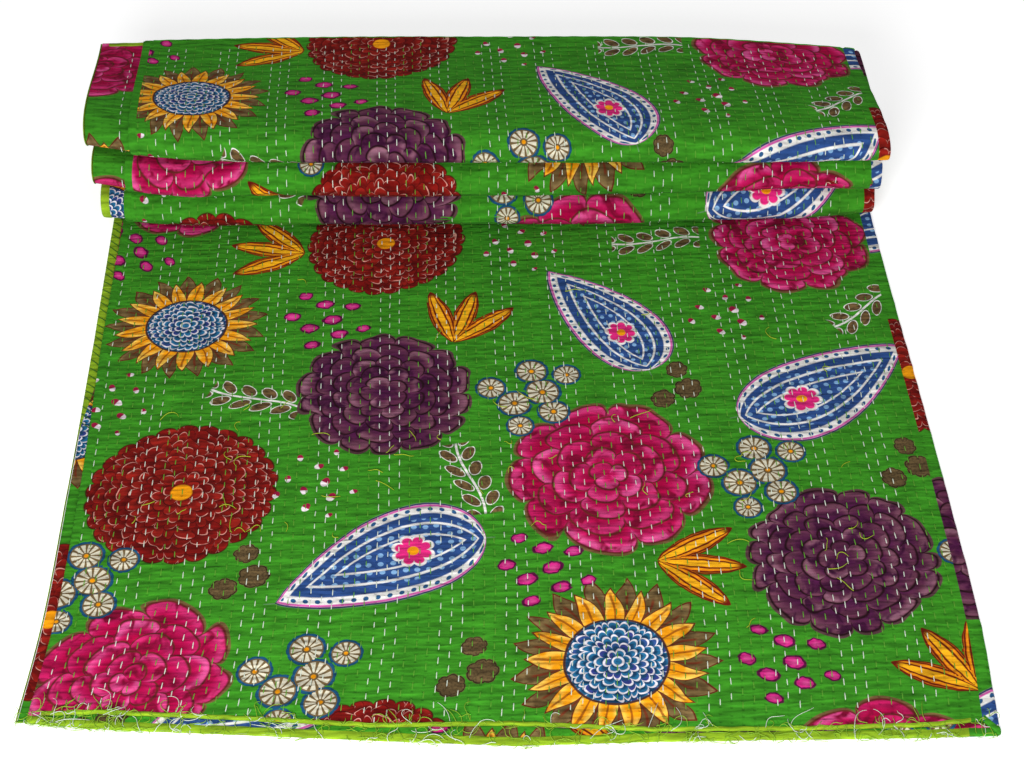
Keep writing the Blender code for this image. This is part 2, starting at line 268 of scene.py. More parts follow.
class MiddleLine:
    """The folded cloth's middle line, from the front hem to the back hem.

    The line runs level along the floor and then turns back and forth. Each turn is half an
    ellipse, and each slope between two turns eases from one level to the next.
    """

    def __init__(self) -> None:
        self.keys = np.concatenate([row_keys(rows) for rows in FULL_LINE])
        middle = np.full((len(self.keys), 1), upper_place(MID_WIDTH))
        y, z, *_ = self._trace(FULL_LINE, middle)
        steps = np.hypot(np.diff(y[:, 0]), np.diff(z[:, 0]))
        self.travel = y[0, 0] + np.concatenate([[0.0], np.cumsum(steps)])
        self.middle_end = float(self._run_end(np.array(MID_WIDTH)))

    @staticmethod
    def _tip(index: int, distance: Numbers) -> Numbers:
        turn = TURNS[index]
        if turn.tips is None:
            return turn.tip + smooth_table(ACROSS, SIDE_LEAN, distance)
        return smooth_table(ACROSS, turn.tips, distance)

    @classmethod
    def _run_end(cls, distance: Numbers) -> Numbers:
        return cls._tip(0, distance) - TURNS[0].depth

    @classmethod
    def _turn(cls, index: int, part: Numbers, distance: Numbers) -> tuple[Numbers, ...]:
        turn = TURNS[index]
        side = 1.0 if index % 2 == 0 else -1.0
        angle = (part - 0.5) * math.pi
        tall = (turn.high - turn.low) / 2
        y = cls._tip(index, distance) - side * turn.depth * (1.0 - np.cos(angle))
        z = turn.low + tall * (1.0 + np.sin(angle))
        return y, z, -side * turn.depth * np.sin(angle), tall * np.cos(angle)

    @classmethod
    def _slope(cls, index: int, part: Numbers, distance: Numbers) -> tuple[Numbers, ...]:
        start_y, start_z, *_ = cls._turn(index, np.ones_like(part), distance)
        if index + 1 < len(TURNS):
            end_y, end_z, *_ = cls._turn(index + 1, np.zeros_like(part), distance)
        else:
            end_y = smooth_table(ACROSS, BACK_HEM, distance)
            end_z = np.full_like(end_y, BACK_HEM_LEVEL)
        run, rise = end_y - start_y, end_z - start_z
        y = start_y + run * part
        z = start_z + rise * part * part * (3.0 - 2.0 * part)
        return y, z, run, rise * 6.0 * part * (1.0 - part)

    @classmethod
    def _run(cls, part: Numbers, distance: Numbers, place: Numbers) -> tuple[Numbers, ...]:
        hem = front_hem(place)
        y = hem + (cls._run_end(distance) - hem) * part
        return y, np.full_like(y, FLOOR_LINE), np.ones_like(y), np.zeros_like(y)

    @classmethod
    def _trace(cls, rows: Iterable[Rows], place: Numbers) -> tuple[Numbers, ...]:
        blocks = []
        first = 0
        for stretch in rows:
            here = place[first : first + stretch.count]
            first += stretch.count
            distance = fold_distance(here)
            part = np.linspace(stretch.start, stretch.end, stretch.count)[:, None] + 0.0 * distance
            if stretch.stretch is Stretch.RUN:
                blocks.append(cls._run(part, distance, here))
            elif stretch.stretch is Stretch.TURN:
                blocks.append(cls._turn(stretch.index, part, distance))
            else:
                blocks.append(cls._slope(stretch.index, part, distance))
        return tuple(np.concatenate(block) for block in zip(*blocks))

    def middle_travel(self, rows: Iterable[Rows]) -> Numbers:
        """How far along the cloth each row lies at mid width.

        Args:
            rows: The stretches that the rows lie on.

        Returns:
            One distance for each row.
        """
        return np.interp(np.concatenate([row_keys(r) for r in rows]), self.keys, self.travel)

    def at(self, rows: Sequence[Rows], place: Numbers) -> tuple[Numbers, ...]:
        """The line under a grid of places.

        Args:
            rows: The stretches that the grid's rows lie on, in order.
            place: Place across the cloth at each row and column.

        Returns:
            For each grid point, y and z of the line, the two parts of its unit normal, and how
            far along the cloth it lies.
        """
        y, z, along, up = self._trace(rows, place)
        size = np.hypot(along, up)
        on_floor = np.concatenate([np.full(r.count, r.stretch is Stretch.RUN) for r in rows])
        shift = self._run_end(fold_distance(place)) - self.middle_end
        travel = np.where(on_floor[:, None], y, self.middle_travel(rows)[:, None] + shift)
        return y, z, -up / size, along / size, travel


def row_keys(rows: Rows) -> Numbers:
    """A rising number for each row: the stretch's place in the line plus the part of it."""
    order = {Stretch.RUN: 0, Stretch.TURN: 1 + 2 * rows.index, Stretch.SLOPE: 2 + 2 * rows.index}
    return order[rows.stretch] + np.linspace(rows.start, rows.end, rows.count)


RUN, TURN, SLOPE = Stretch.RUN, Stretch.TURN, Stretch.SLOPE
FRONT_SPLIT = 0.86


def pleat_rows(
    run: Rows, tuck: float, back: int, front: int, slope: int, slope_end: float, *last: Rows
) -> tuple[Rows, ...]:
    """The stretches of the folded cloth from a part of the run, through the pleats, to the top.

    Args:
        run: The part of the run that comes first.
        tuck: Where the rows start on the first turn and on the slopes that follow back turns.
        back: Rows on a back turn.
        front: Rows on a front turn.
        slope: Rows on a slope.
        slope_end: Where the rows end on the slopes that follow front turns.
        last: The stretches of the last turn and the top.

    Returns:
        The stretches in order.
    """
    rows = [run]
    for index in range(len(TURNS) - 1):
        at_back = index % 2 == 0
        rows.append(Rows(TURN, index, 0.0 if index else tuck, 1.0, back if at_back else front))
        rows.append(Rows(SLOPE, index, tuck if at_back else 0.05, 0.95 if at_back else slope_end, slope))
    return (*rows, *last)


FULL_LINE = pleat_rows(
    Rows(RUN, 0, 0.0, 1.0, 24), 0.05, 24, 32, 16, 0.95, Rows(TURN, 5, 0.0, 1.0, 32),
    Rows(SLOPE, 5, 0.02, 1.0, 40),
)
FRONT_ROWS = (Rows(RUN, 0, 0.0, FRONT_SPLIT, 286),)
PLEAT_ROWS = pleat_rows(
    Rows(RUN, 0, FRONT_SPLIT, 1.0, 10), 0.1, 10, 34, 11, 0.9, Rows(TURN, 5, 0.0, 1.0, 38),
    Rows(SLOPE, 5, 0.015, 1.0, 82),
)
COARSE_ROWS = pleat_rows(
    Rows(RUN, 0, 0.0, 1.0, 90), 0.1, 12, 18, 10, 0.9, Rows(TURN, 5, 0.0, 1.0, 20),
    Rows(SLOPE, 5, 0.03, 1.0, 30),
)
THREAD_ROWS = pleat_rows(
    Rows(RUN, 0, 0.0, 1.0, 500), 0.05, 12, 60, 12, 0.95, Rows(TURN, 5, 0.0, 1.0, 60),
    Rows(SLOPE, 5, 0.01, 1.0, 160),
)


@dataclass(frozen=True)
class Grid:
    """A grid on the folded cloth.

    Args:
        points: The grid's points, row by row from the front hem.
        normal: The cloth's outward direction at each point.
        distance: How far each point lies from the long fold, measured on the cloth.
        travel: How far each point lies along the cloth from the front hem.
    """

    points: Numbers
    normal: Numbers
    distance: Numbers
    travel: Numbers


class Relief:
    """Puckers, stitch channels and soft unevenness of the quilted face."""

    PUCKER = 0.95 * MM
    FINE = 0.12 * MM
    SOFT = 0.9 * MM
    ROW_DIP = 0.16 * MM
    CHANNEL_DIP = 0.55 * MM
    SEAM_DIP = 0.9 * MM
    TURN_SOFT = 3.0 * MM

    def __init__(self) -> None:
        self.ridges = Ruffle(SEED, 56 * MM, 9.0 * MM)
        self.fine = Ruffle(SEED + 1, 13 * MM, 5.5 * MM)
        self.strength = Ruffle(SEED + 2, 90 * MM, 70 * MM)
        self.soft = Ruffle(SEED + 3, 120 * MM, 95 * MM)
        self.turns = Ruffle(SEED + 4, 110 * MM, 60 * MM)

    def face(self, distance: Numbers, travel: Numbers) -> Numbers:
        """Height of the quilted face over the plain ply, in metres."""
        strength = 0.75 + 0.45 * self.strength(distance, travel)
        pucker = self.PUCKER * self.ridges(distance, travel) + self.FINE * self.fine(distance, travel)
        wave = 0.5 + 0.5 * np.cos(2.0 * math.pi * distance / ROW_PITCH)
        group = 0.5 + 0.5 * np.cos(2.0 * math.pi * distance / (6.0 * ROW_PITCH))
        rows = self.ROW_DIP * wave**2 + self.CHANNEL_DIP * group**3
        seam = self.SEAM_DIP * np.exp(-(((distance - SEAM_FROM_FOLD) / (3.0 * MM)) ** 2))
        soft = self.SOFT * 0.5 * self.soft(distance, travel)
        return strength * pucker - rows - seam + soft

    def over_ply(self, ply: "Ply", distance: Numbers, travel: Numbers, facing: Numbers) -> Numbers:
        """Height of a face over the ply's middle.

        Half the ply, and the quilting's relief, which fades towards the side edge and the front
        hem. Turns that face the front are uneven as well.

        Args:
            ply: Which ply it is.
            distance: Distance from the long fold.
            travel: Distance along the cloth.
            facing: How far the cloth faces the front, 0 to 1.

        Returns:
            The height at each point, in metres.
        """
        free = ease(6 * MM, 26 * MM, ply.edge(travel) - distance) * ease(4 * MM, 18 * MM, travel)
        shown = np.maximum(ease(0.93, 0.87, travel), ease(TOP_START, TOP_START + 30 * MM, travel))
        shown = 0.25 + 0.75 * np.maximum(shown, ease(0.2, 0.7, facing))
        quilting = self.face(distance, travel) * (0.2 + 0.8 * free) * shown
        turn = self.TURN_SOFT * 0.5 * self.turns(distance, travel) * facing * free
        return PLY / 2 + np.maximum(quilting, -0.9 * MM) + turn


LINE = MiddleLine()
TOP_START = float(LINE.middle_travel([Rows(TURN, 5, 0.0, 1.0, 2)])[1])


def cloth_grid(
    rows: Sequence[Rows], place: Numbers, lift: Callable[[Numbers, Numbers, Numbers], Numbers]
) -> Grid:
    """A grid on the folded cloth.

    Args:
        rows: The stretches the grid's rows lie on.
        place: Place across the cloth at each row and column.
        lift: Height over the ply's middle, from distance, travel and how far it faces the front.

    Returns:
        The grid, in the record's frame.
    """
    y, z, normal_y, normal_z, travel = LINE.at(rows, place)
    distance = fold_distance(place)
    x, level = round_fold(place, lift(distance, travel, np.clip(-normal_y, 0.0, 1.0)))
    side_x = smooth_table(ALONG, FOLD_SIDE, LINE.middle_travel(rows))[:, None] + x
    points = np.stack([side_x, y + normal_y * level, z + normal_z * level], 2) - ORIGIN
    angle = np.clip(place / FOLD_RADIUS, 0.0, math.pi)
    out = np.stack([np.sin(angle), normal_y * np.cos(angle), normal_z * np.cos(angle)], 2)
    return Grid(points, out, distance, travel)


def find_origin() -> Numbers:
    """Where the record's origin lies in the sizes' own frame, from the front binding's box."""
    low, high = (np.array(corner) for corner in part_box("binding_front_lower"))
    front = min(FRONT_HEM_LOWER)
    at_hem = np.interp(FRONT_LOWER_WIDTH, ALONG, FOLD_SIDE)
    return np.array([at_hem + PLY / 2 - high[0], front - low[1], -low[2]])


ORIGIN = find_origin()


def mesh_object(name: str, points: Numbers, faces: Numbers, smooth: bool = True) -> bpy.types.Object:
    """A mesh object at the origin.

    Args:
        name: The object's name.
        points: Its points, one row each.
        faces: Its faces, one row of point numbers each, all of one size.
        smooth: Whether its faces are shaded smooth.

    Returns:
        The object, linked to the scene.
    """
    mesh = bpy.data.meshes.new(name)
    size = faces.shape[1]
    mesh.vertices.add(len(points))
    mesh.vertices.foreach_set("co", np.ascontiguousarray(points, np.float32).ravel())
    mesh.loops.add(faces.size)
    mesh.loops.foreach_set("vertex_index", np.ascontiguousarray(faces, np.int32).ravel())
    mesh.polygons.add(len(faces))
    mesh.polygons.foreach_set("loop_start", np.arange(0, faces.size, size, dtype=np.int32))
    mesh.update(calc_edges=True)
    mesh.polygons.foreach_set("use_smooth", np.full(len(faces), smooth))
    mesh.update()
    item = bpy.data.objects.new(name, mesh)
    bpy.context.scene.collection.objects.link(item)
    return item


def grid_faces(rows: int, columns: int, flip: bool = False, closed: bool = False) -> Numbers:
    """Quads of a grid whose points are numbered row by row.

    Args:
        rows: How many rows of points.
        columns: How many points in a row.
        flip: Whether the faces are turned over.
        closed: Whether the last column joins the first.

    Returns:
        One row of four point numbers for each quad.
    """
    index = np.arange(rows * columns).reshape(rows, columns)
    if closed:
        index = np.concatenate([index, index[:, :1]], axis=1)
    quads = np.stack([index[:-1, :-1], index[:-1, 1:], index[1:, 1:], index[1:, :-1]], 2).reshape(-1, 4)
    return quads[:, ::-1] if flip else quads

# ---------------------------------------------------------------------------------------------
# Numbers and colours that change over a surface.


def rgb(red: int, green: int, blue: int) -> Colour:
    """A colour from its usual screen values, 0 to 255, as the shader wants it."""
    parts = np.array((red, green, blue)) / 255.0
    linear = np.where(parts <= 0.04045, parts / 12.92, ((parts + 0.055) / 1.055) ** 2.4)
    return (float(linear[0]), float(linear[1]), float(linear[2]), 1.0)


@dataclass(frozen=True)
class Signal:
    """A number or colour that changes over the surface: an output of a node tree.

    Args:
        tree: The node tree it belongs to.
        socket: The output that carries it.
    """

    tree: bpy.types.NodeTree
    socket: bpy.types.NodeSocket

    def _math(self, operation: str, *others: "Value", clamp: bool = False) -> "Signal":
        node = self.tree.nodes.new("ShaderNodeMath")
        node.operation = operation
        node.use_clamp = clamp
        for inlet, value in zip(node.inputs, (self, *others)):
            plug(value, inlet)
        return Signal(self.tree, node.outputs[0])

    def __add__(self, other: "Value") -> "Signal":
        """The sum."""
        return self._math("ADD", other)

    def __sub__(self, other: "Value") -> "Signal":
        """The difference."""
        return self._math("SUBTRACT", other)

    def __rsub__(self, other: float) -> "Signal":
        """A plain number less this."""
        return self._math("MULTIPLY_ADD", -1.0, other)

    def __mul__(self, other: "Value") -> "Signal":
        """The product."""
        return self._math("MULTIPLY", other)

    def __truediv__(self, other: "Value") -> "Signal":
        """The quotient."""
        return self._math("DIVIDE", other)

    def power(self, other: float) -> "Signal":
        """This to a power."""
        return self._math("POWER", other)

    def sine(self) -> "Signal":
        """The sine."""
        return self._math("SINE")

    def size(self) -> "Signal":
        """The number without its sign."""
        return self._math("ABSOLUTE")

    def floor(self) -> "Signal":
        """The whole number below."""
        return self._math("FLOOR")

    def fraction(self) -> "Signal":
        """What is left over the whole number below."""
        return self._math("FRACT")

    def least(self, other: "Value") -> "Signal":
        """The smaller of the two."""
        return self._math("MINIMUM", other)

    def most(self, other: "Value") -> "Signal":
        """The larger of the two."""
        return self._math("MAXIMUM", other)

    def angle_from(self, across: "Signal") -> "Signal":
        """The angle of the point whose height this is, in radians."""
        return self._math("ARCTAN2", across)

    def length_with(self, other: "Signal") -> "Signal":
        """The length of the arrow whose two parts these are."""
        return (self * self + other * other).power(0.5)

    def rise(self, start: "Value", end: "Value") -> "Signal":
        """A soft step: 0 up to start, 1 from end on."""
        node = self.tree.nodes.new("ShaderNodeMapRange")
        node.interpolation_type = "SMOOTHSTEP"
        for name, value in (("Value", self), ("From Min", start), ("From Max", end)):
            plug(value, node.inputs[name])
        return Signal(self.tree, node.outputs[0])

    def fall(self, start: "Value", end: "Value") -> "Signal":
        """A soft step down: 1 up to start, 0 from end on."""
        return 1.0 - self.rise(start, end)

    def near(self, level: "Value", half: float, soft: float = 0.5) -> "Signal":
        """1 within half of a level, fading over that share of half."""
        return (self - level).size().fall(half * (1.0 - soft), half * (1.0 + soft))


Value = Signal | float | Colour


def plug(value: Value, inlet: bpy.types.NodeSocket) -> None:
    """Puts a signal, a plain number or a colour into an inlet."""
    if isinstance(value, Signal):
        value.tree.links.new(value.socket, inlet)
    else:
        inlet.default_value = value


def painted(below: Value, above: Value, mask: Signal) -> Signal:
    """A colour over another where a mask says.

    Args:
        below: The colour where the mask is 0.
        above: The colour where it is 1.
        mask: The mask.

    Returns:
        The mixed colour.
    """
    node = mask.tree.nodes.new("ShaderNodeMix")
    node.data_type = "RGBA"
    plug(mask, node.inputs["Factor"])
    plug(below, node.inputs[6])
    plug(above, node.inputs[7])
    return Signal(mask.tree, node.outputs[2])


class Sheet:
    """A shader node group under construction, with the inputs and outputs it is given."""

    def __init__(
        self, name: str, inlets: Iterable[tuple[str, str]], outlets: Iterable[tuple[str, str]]
    ) -> None:
        self.tree = bpy.data.node_groups.new(name, "ShaderNodeTree")
        for side, sockets in (("INPUT", inlets), ("OUTPUT", outlets)):
            for label, kind in sockets:
                self.tree.interface.new_socket(label, in_out=side, socket_type=f"NodeSocket{kind}")
        self.inlet = self.tree.nodes.new("NodeGroupInput")
        self.outlet = self.tree.nodes.new("NodeGroupOutput")

    def given(self, name: str) -> Signal:
        """The group's input of that name."""
        return Signal(self.tree, self.inlet.outputs[name])

    def parts(self, vector: Signal) -> tuple[Signal, Signal, Signal]:
        """A vector's three numbers."""
        node = self.tree.nodes.new("ShaderNodeSeparateXYZ")
        plug(vector, node.inputs[0])
        return tuple(Signal(self.tree, outlet) for outlet in node.outputs)

    def joined(self, x: Value, y: Value, z: Value = 0.0) -> Signal:
        """A vector of three numbers."""
        node = self.tree.nodes.new("ShaderNodeCombineXYZ")
        for inlet, value in zip(node.inputs, (x, y, z)):
            plug(value, inlet)
        return Signal(self.tree, node.outputs[0])

    def noise(self, at: Signal, scale: float, detail: float = 1.0, swirl: float = 0.0) -> Signal:
        """Soft random numbers from 0 to 1."""
        node = self.tree.nodes.new("ShaderNodeTexNoise")
        plug(at, node.inputs["Vector"])
        node.inputs["Scale"].default_value = scale
        node.inputs["Detail"].default_value = detail
        node.inputs["Distortion"].default_value = swirl
        return Signal(self.tree, node.outputs[0])

    def cells(self, at: Signal, scale: float, spread: float) -> Signal:
        """Scattered cells: how far a point lies from its cell's centre."""
        node = self.tree.nodes.new("ShaderNodeTexVoronoi")
        node.voronoi_dimensions = "2D"
        plug(at, node.inputs["Vector"])
        node.inputs["Scale"].default_value = scale
        node.inputs["Randomness"].default_value = spread
        return Signal(self.tree, node.outputs["Distance"])

    def give(self, **values: Value) -> bpy.types.NodeTree:
        """Sets the group's outputs and returns the group."""
        for name, value in values.items():
            plug(value, self.outlet.inputs[name])
        return self.tree


def placed(tree: bpy.types.NodeTree, group: bpy.types.NodeTree, **inputs: Value) -> bpy.types.Node:
    """A group's node in a tree, with its inputs set."""
    node = tree.nodes.new("ShaderNodeGroup")
    node.node_tree = group
    for name, value in inputs.items():
        plug(value, node.inputs[name])
    return node


def from_attribute(tree: bpy.types.NodeTree, name: str) -> Signal:
    """A mesh attribute's vector."""
    node = tree.nodes.new("ShaderNodeAttribute")
    node.attribute_name = name
    return Signal(tree, node.outputs["Vector"])


# ---------------------------------------------------------------------------------------------
# Dyes.

LEAF_GREEN = rgb(55, 133, 30)
LIME = rgb(132, 166, 34)
CRIMSON = rgb(158, 2, 58)
ROSE = rgb(216, 40, 120)
PINK = rgb(226, 120, 178)
PLUM = rgb(72, 22, 62)
NAVY = rgb(42, 72, 128)
SKY = rgb(120, 160, 200)
CREAM = rgb(222, 220, 216)
AMBER = rgb(232, 150, 14)
OLIVE = rgb(108, 84, 52)
WINE = rgb(84, 12, 34)


class Motif(Enum):
    """The kinds of flower, leaf and filling in the print, in the order they're printed."""

    SPRIG = "sprig"
    LEAF = "leaf"
    PAISLEY = "paisley"
    PLUM_FLOWER = "plum_flower"
    DAHLIA = "dahlia"
    SUNFLOWER = "sunflower"
    PEONY = "peony"
    LEAFLET = "leaflet"
    DAISY = "daisy"
    PEBBLE = "pebble"
    BUD = "bud"


@dataclass(frozen=True)
class Place:
    """One motif in the print's repeat.

    Args:
        across: Its middle, in mm across the cloth from the side hem.
        along: Its middle, in mm along the cloth from the front hem.
        wide: Half its width, in mm.
        tall: Half its height, in mm.
        turn: How far it is turned, in degrees.
    """

    across: float
    along: float
    wide: float
    tall: float
    turn: float = 0.0


Point = tuple[float, float]
Chart = dict[Motif, list[Place]]


def spiral(middle: Point, count: int, spread: float) -> list[Point]:
    """Points spread evenly round a middle, each turned by the golden angle from the one before."""
    reach = spread * np.sqrt(np.arange(count) + 0.4)
    turn = np.arange(count) * math.tau * GOLDEN
    return list(zip(middle[0] + reach * np.cos(turn), middle[1] + reach * np.sin(turn)))


@dataclass(frozen=True)
class Cluster:
    """A group of one small motif that fills a gap between the large flowers.

    Args:
        motif: What it is made of.
        count: How many there are.
        spread: How far apart they lie, in mm.
        half: Half the size of each, in mm.
    """

    motif: Motif
    count: int
    spread: float
    half: float

    def fill(self, middle: Point, heading: float, chart: Chart) -> None:
        """Adds the group to a chart, round a middle, each a little smaller than the one before."""
        for number, (across, along) in enumerate(spiral(middle, self.count, self.spread)):
            half = self.half * (1.0 - 0.3 * number / self.count)
            chart[self.motif].append(Place(across, along, half, half, heading))


@dataclass(frozen=True)
class Spray:
    """A fan of long motifs from one root.

    Args:
        motif: What it is made of.
        turns: How far each is turned from the heading, in degrees.
        length: Half the length of each, in mm.
        half: Half the width of each, in mm.
    """

    motif: Motif
    turns: tuple[float, ...]
    length: float
    half: float

    def fill(self, middle: Point, heading: float, chart: Chart) -> None:
        """Adds the fan to a chart, its root behind the middle."""
        root = [level - self.length * turned for level, turned in zip(middle, unit(heading))]
        for turn in self.turns:
            aim = unit(heading + turn)
            across, along = (level + self.length * turned for level, turned in zip(root, aim))
            chart[self.motif].append(Place(across, along, self.length, self.half, heading + turn))


def unit(degrees: float) -> Point:
    """A direction's step across and along."""
    return math.cos(math.radians(degrees)), math.sin(math.radians(degrees))


# The large flowers, row by row up the repeat; every other column stands half a row further on.
FLOWERS = (
    (Motif.PEONY, Motif.PAISLEY, Motif.SUNFLOWER, Motif.PLUM_FLOWER),
    (Motif.DAHLIA, Motif.PLUM_FLOWER, Motif.PEONY, Motif.PAISLEY),
    (Motif.SUNFLOWER, Motif.DAHLIA, Motif.PAISLEY, Motif.PEONY),
)
FLOWER_HALF = 127.0
FLOWER_WANDER = 17.0
GAP_FROM_FLOWER = 100.0
FILLINGS = (
    Cluster(Motif.DAISY, 7, 26.0, 27.0),
    Spray(Motif.LEAF, (-34.0, 0.0, 34.0), 56.0, 17.0),
    Cluster(Motif.PEBBLE, 9, 21.0, 14.0),
    Spray(Motif.SPRIG, (0.0,), 72.0, 40.0),
    Cluster(Motif.BUD, 12, 18.0, 10.0),
    Cluster(Motif.LEAFLET, 3, 24.0, 22.0),
)


def lay_out() -> Chart:
    """The print's repeat: large flowers in a half-drop, and small fillings in the gaps between them.

    Each flower wanders a little from its place. Two gaps lie beside the middle of the stretch from
    each flower to the next one up its column, and the fillings take turns in them.
    """
    random = np.random.default_rng(SEED)
    chart: Chart = {motif: [] for motif in Motif}
    column_width, row_height = PRINT_WIDTH / MM / len(FLOWERS[0]), PRINT_REPEAT / MM / len(FLOWERS)
    gap = 0
    for row, flowers in enumerate(FLOWERS):
        for column, flower in enumerate(flowers):
            across = (column + 0.5) * column_width
            along = (row + 0.5 * (column % 2) + 0.25) * row_height
            wander = random.uniform(-FLOWER_WANDER, FLOWER_WANDER, 2)
            half = FLOWER_HALF * random.uniform(0.92, 1.12)
            tall = half * random.uniform(0.90, 1.04)
            turn = random.uniform(0, 360)
            chart[flower].append(Place(across + wander[0], along + wander[1], half, tall, turn))
            for side in (-1.0, 1.0):
                middle = across + side * GAP_FROM_FLOWER, along + row_height / 2
                FILLINGS[gap * 5 % len(FILLINGS)].fill(middle, random.uniform(0, 360), chart)
                gap += 1
    return chart


CHART = lay_out()


def motif_sheet(motif: Motif) -> tuple[Sheet, Signal, Signal, Signal]:
    """A motif's group, with its place split into across, along and the motif's own number."""
    sheet = Sheet(f"motif_{motif.value}", [("Place", "Vector")], [("Color", "Color"), ("Mask", "Float")])
    return (sheet, *sheet.parts(sheet.given("Place")))


def petal_turn(angle: Signal, count: int, start: Value) -> tuple[Signal, Signal]:
    """Where a point lies in a ring of petals: how far from its petal's middle, and which petal."""
    turn = angle * (count / math.tau) + start
    return (turn.fraction() - 0.5).size() * 2.0, turn.floor()


def hashed(number: Signal, start: float) -> Signal:
    """A steady random number from 0 to 1 for each whole number."""
    return ((number + start).sine() * 4373.7).fraction()


def scale_rings(radius: Signal, angle: Signal, rings: float) -> tuple[Signal, Signal, Signal]:
    """Rings of overlapping scales, each as wide as a ring is deep.

    Ring number k holds six times k scales and is turned by a random part. A scale's outer edge
    is a half round that lies over the ring outside it.

    Args:
        radius: Distance from the middle.
        angle: Direction from the middle.
        rings: How many rings in a radius of 1.

    Returns:
        How far a point lies inside its scale's edge, in rings, how far from the scale's middle
        line, and the scale's number.
    """
    ring = radius * rings
    first = ring.floor()
    depths, offs, numbers = [], [], []
    for step in (0.0, 1.0):
        number = first + step
        turn = angle * (number * (6.0 / math.tau)) + hashed(number, 0.7)
        off = (turn.fraction() - 0.5).size() * 2.0
        depths.append((1.02 - off * off).power(0.5) * 0.78 + step - ring.fraction())
        offs.append(off)
        numbers.append(turn.floor() + number * 31.0)
    own = depths[0].rise(-0.002, 0.002)
    return tuple(near * own + far * (1.0 - own) for near, far in (depths, offs, numbers))


@dataclass(frozen=True)
class Layered:
    """A layered flower's dyes and its rings of round petals, each ring over the one outside it.

    Args:
        motif: Which flower it is.
        rim: The dye round the whole flower.
        line: The dye of the thin lines round its petals.
        root: The dye of the folds at a petal's root.
        body: The dye of its petals.
        light: The lighter dye towards a petal's tip.
        tip: The palest dye, along the tip.
        rings: Each ring's reach, the depth of its lobes, its number of petals and its turn.
    """

    motif: Motif
    rim: Colour
    line: Colour
    root: Colour
    body: Colour
    light: Colour
    tip: Colour
    rings: tuple[tuple[float, float, int, float], ...]

    def draw(self) -> bpy.types.NodeTree:
        """The flower: a ring's edge is a row of half rounds about the middle, bent by noise."""
        sheet, x, y, seed = motif_sheet(self.motif)
        bend = sheet.noise(sheet.joined(x, y, seed), 1.9, 1.0) - 0.5
        streak = sheet.noise(sheet.joined(x * 1.5, y * 1.5, seed), 3.2, 2.0, 0.9)
        radius = x.length_with(y) + bend * 0.16
        angle = y.angle_from(x) + bend * 0.8
        colour: Value = self.rim
        mask: Signal | None = None
        for reach, lobe, count, start in self.rings:
            off, number = petal_turn(angle, count, start)
            inside = (1.03 - off * off).power(0.5) * lobe + (reach - lobe) - radius
            bright = hashed(number, start * 7.0 + 1.3)
            petal = painted(self.body, self.root, streak.fall(0.34, 0.48) * 0.6)
            light = inside.fall(0.02, 0.24) * (bright * 0.65 + 0.35) * streak.rise(0.34, 0.54)
            petal = painted(petal, self.light, light)
            petal = painted(petal, self.tip, light * inside.near(0.075, 0.04, 0.9) * bright * 0.5)
            side = off.rise(0.93, 0.98) * radius.rise(reach - lobe - 0.08, reach - lobe)
            petal = painted(petal, self.line, inside.near(0.012, 0.022).most(side * 0.9))
            colour = painted(colour, petal, inside.rise(0.0, 0.02))
            mask = inside.rise(-0.025, -0.012) if mask is None else mask
        return sheet.give(Color=colour, Mask=mask)


PEONY = Layered(
    Motif.PEONY, OLIVE, rgb(96, 34, 30), WINE, CRIMSON, ROSE, PINK,
    (
        (0.95, 0.17, 9, 0.0), (0.76, 0.17, 8, 0.5), (0.57, 0.16, 6, 0.2), (0.38, 0.13, 5, 0.7),
        (0.20, 0.09, 3, 0.4),
    ),
)
PLUM_FLOWER = Layered(
    Motif.PLUM_FLOWER, rgb(84, 56, 60), rgb(36, 12, 20), rgb(44, 12, 34), PLUM, rgb(112, 62, 72),
    rgb(160, 116, 140),
    (
        (0.95, 0.13, 14, 0.0), (0.78, 0.13, 12, 0.5), (0.61, 0.12, 10, 0.3), (0.45, 0.11, 8, 0.8),
        (0.28, 0.09, 5, 0.1),
    ),
)


def draw_dahlia() -> bpy.types.NodeTree:
    """A round dahlia packed with small scales, dark rims and broken pale lines, round an amber eye."""
    sheet, x, y, seed = motif_sheet(Motif.DAHLIA)
    bend = sheet.noise(sheet.joined(x, y, seed), 2.0) - 0.5
    radius = x.length_with(y) + bend * 0.08
    off, _ = petal_turn(y.angle_from(x), 26, seed)
    inside = (1.04 - off * off).power(0.5) * 0.07 + 0.92 - radius
    wander = sheet.noise(sheet.joined(x, y, seed + 4.0), 3.4, 1.0) - 0.5
    turned = y.angle_from(x) + wander * 0.5
    depth, off_scale, number = scale_rings(x.length_with(y) + wander * 0.12, turned, 8.6)
    broken = sheet.noise(sheet.joined(x, y, seed), 5.0, 1.0)
    colour = painted(rgb(110, 14, 12), rgb(142, 30, 22), hashed(number, 1.0))
    colour = painted(colour, rgb(60, 8, 8), depth.rise(0.55, 1.0).most(off_scale.rise(0.75, 1.0)) * 0.5)
    colour = painted(colour, rgb(66, 8, 8), depth.near(0.03, 0.06))
    colour = painted(colour, rgb(206, 140, 128), depth.near(0.15, 0.055) * broken.rise(0.46, 0.53))
    colour = painted(colour, AMBER, x.length_with(y).fall(0.10, 0.12))
    colour = painted(colour, rgb(60, 10, 10), inside.near(0.01, 0.014))
    return sheet.give(Color=colour, Mask=inside.rise(0.0, 0.02))


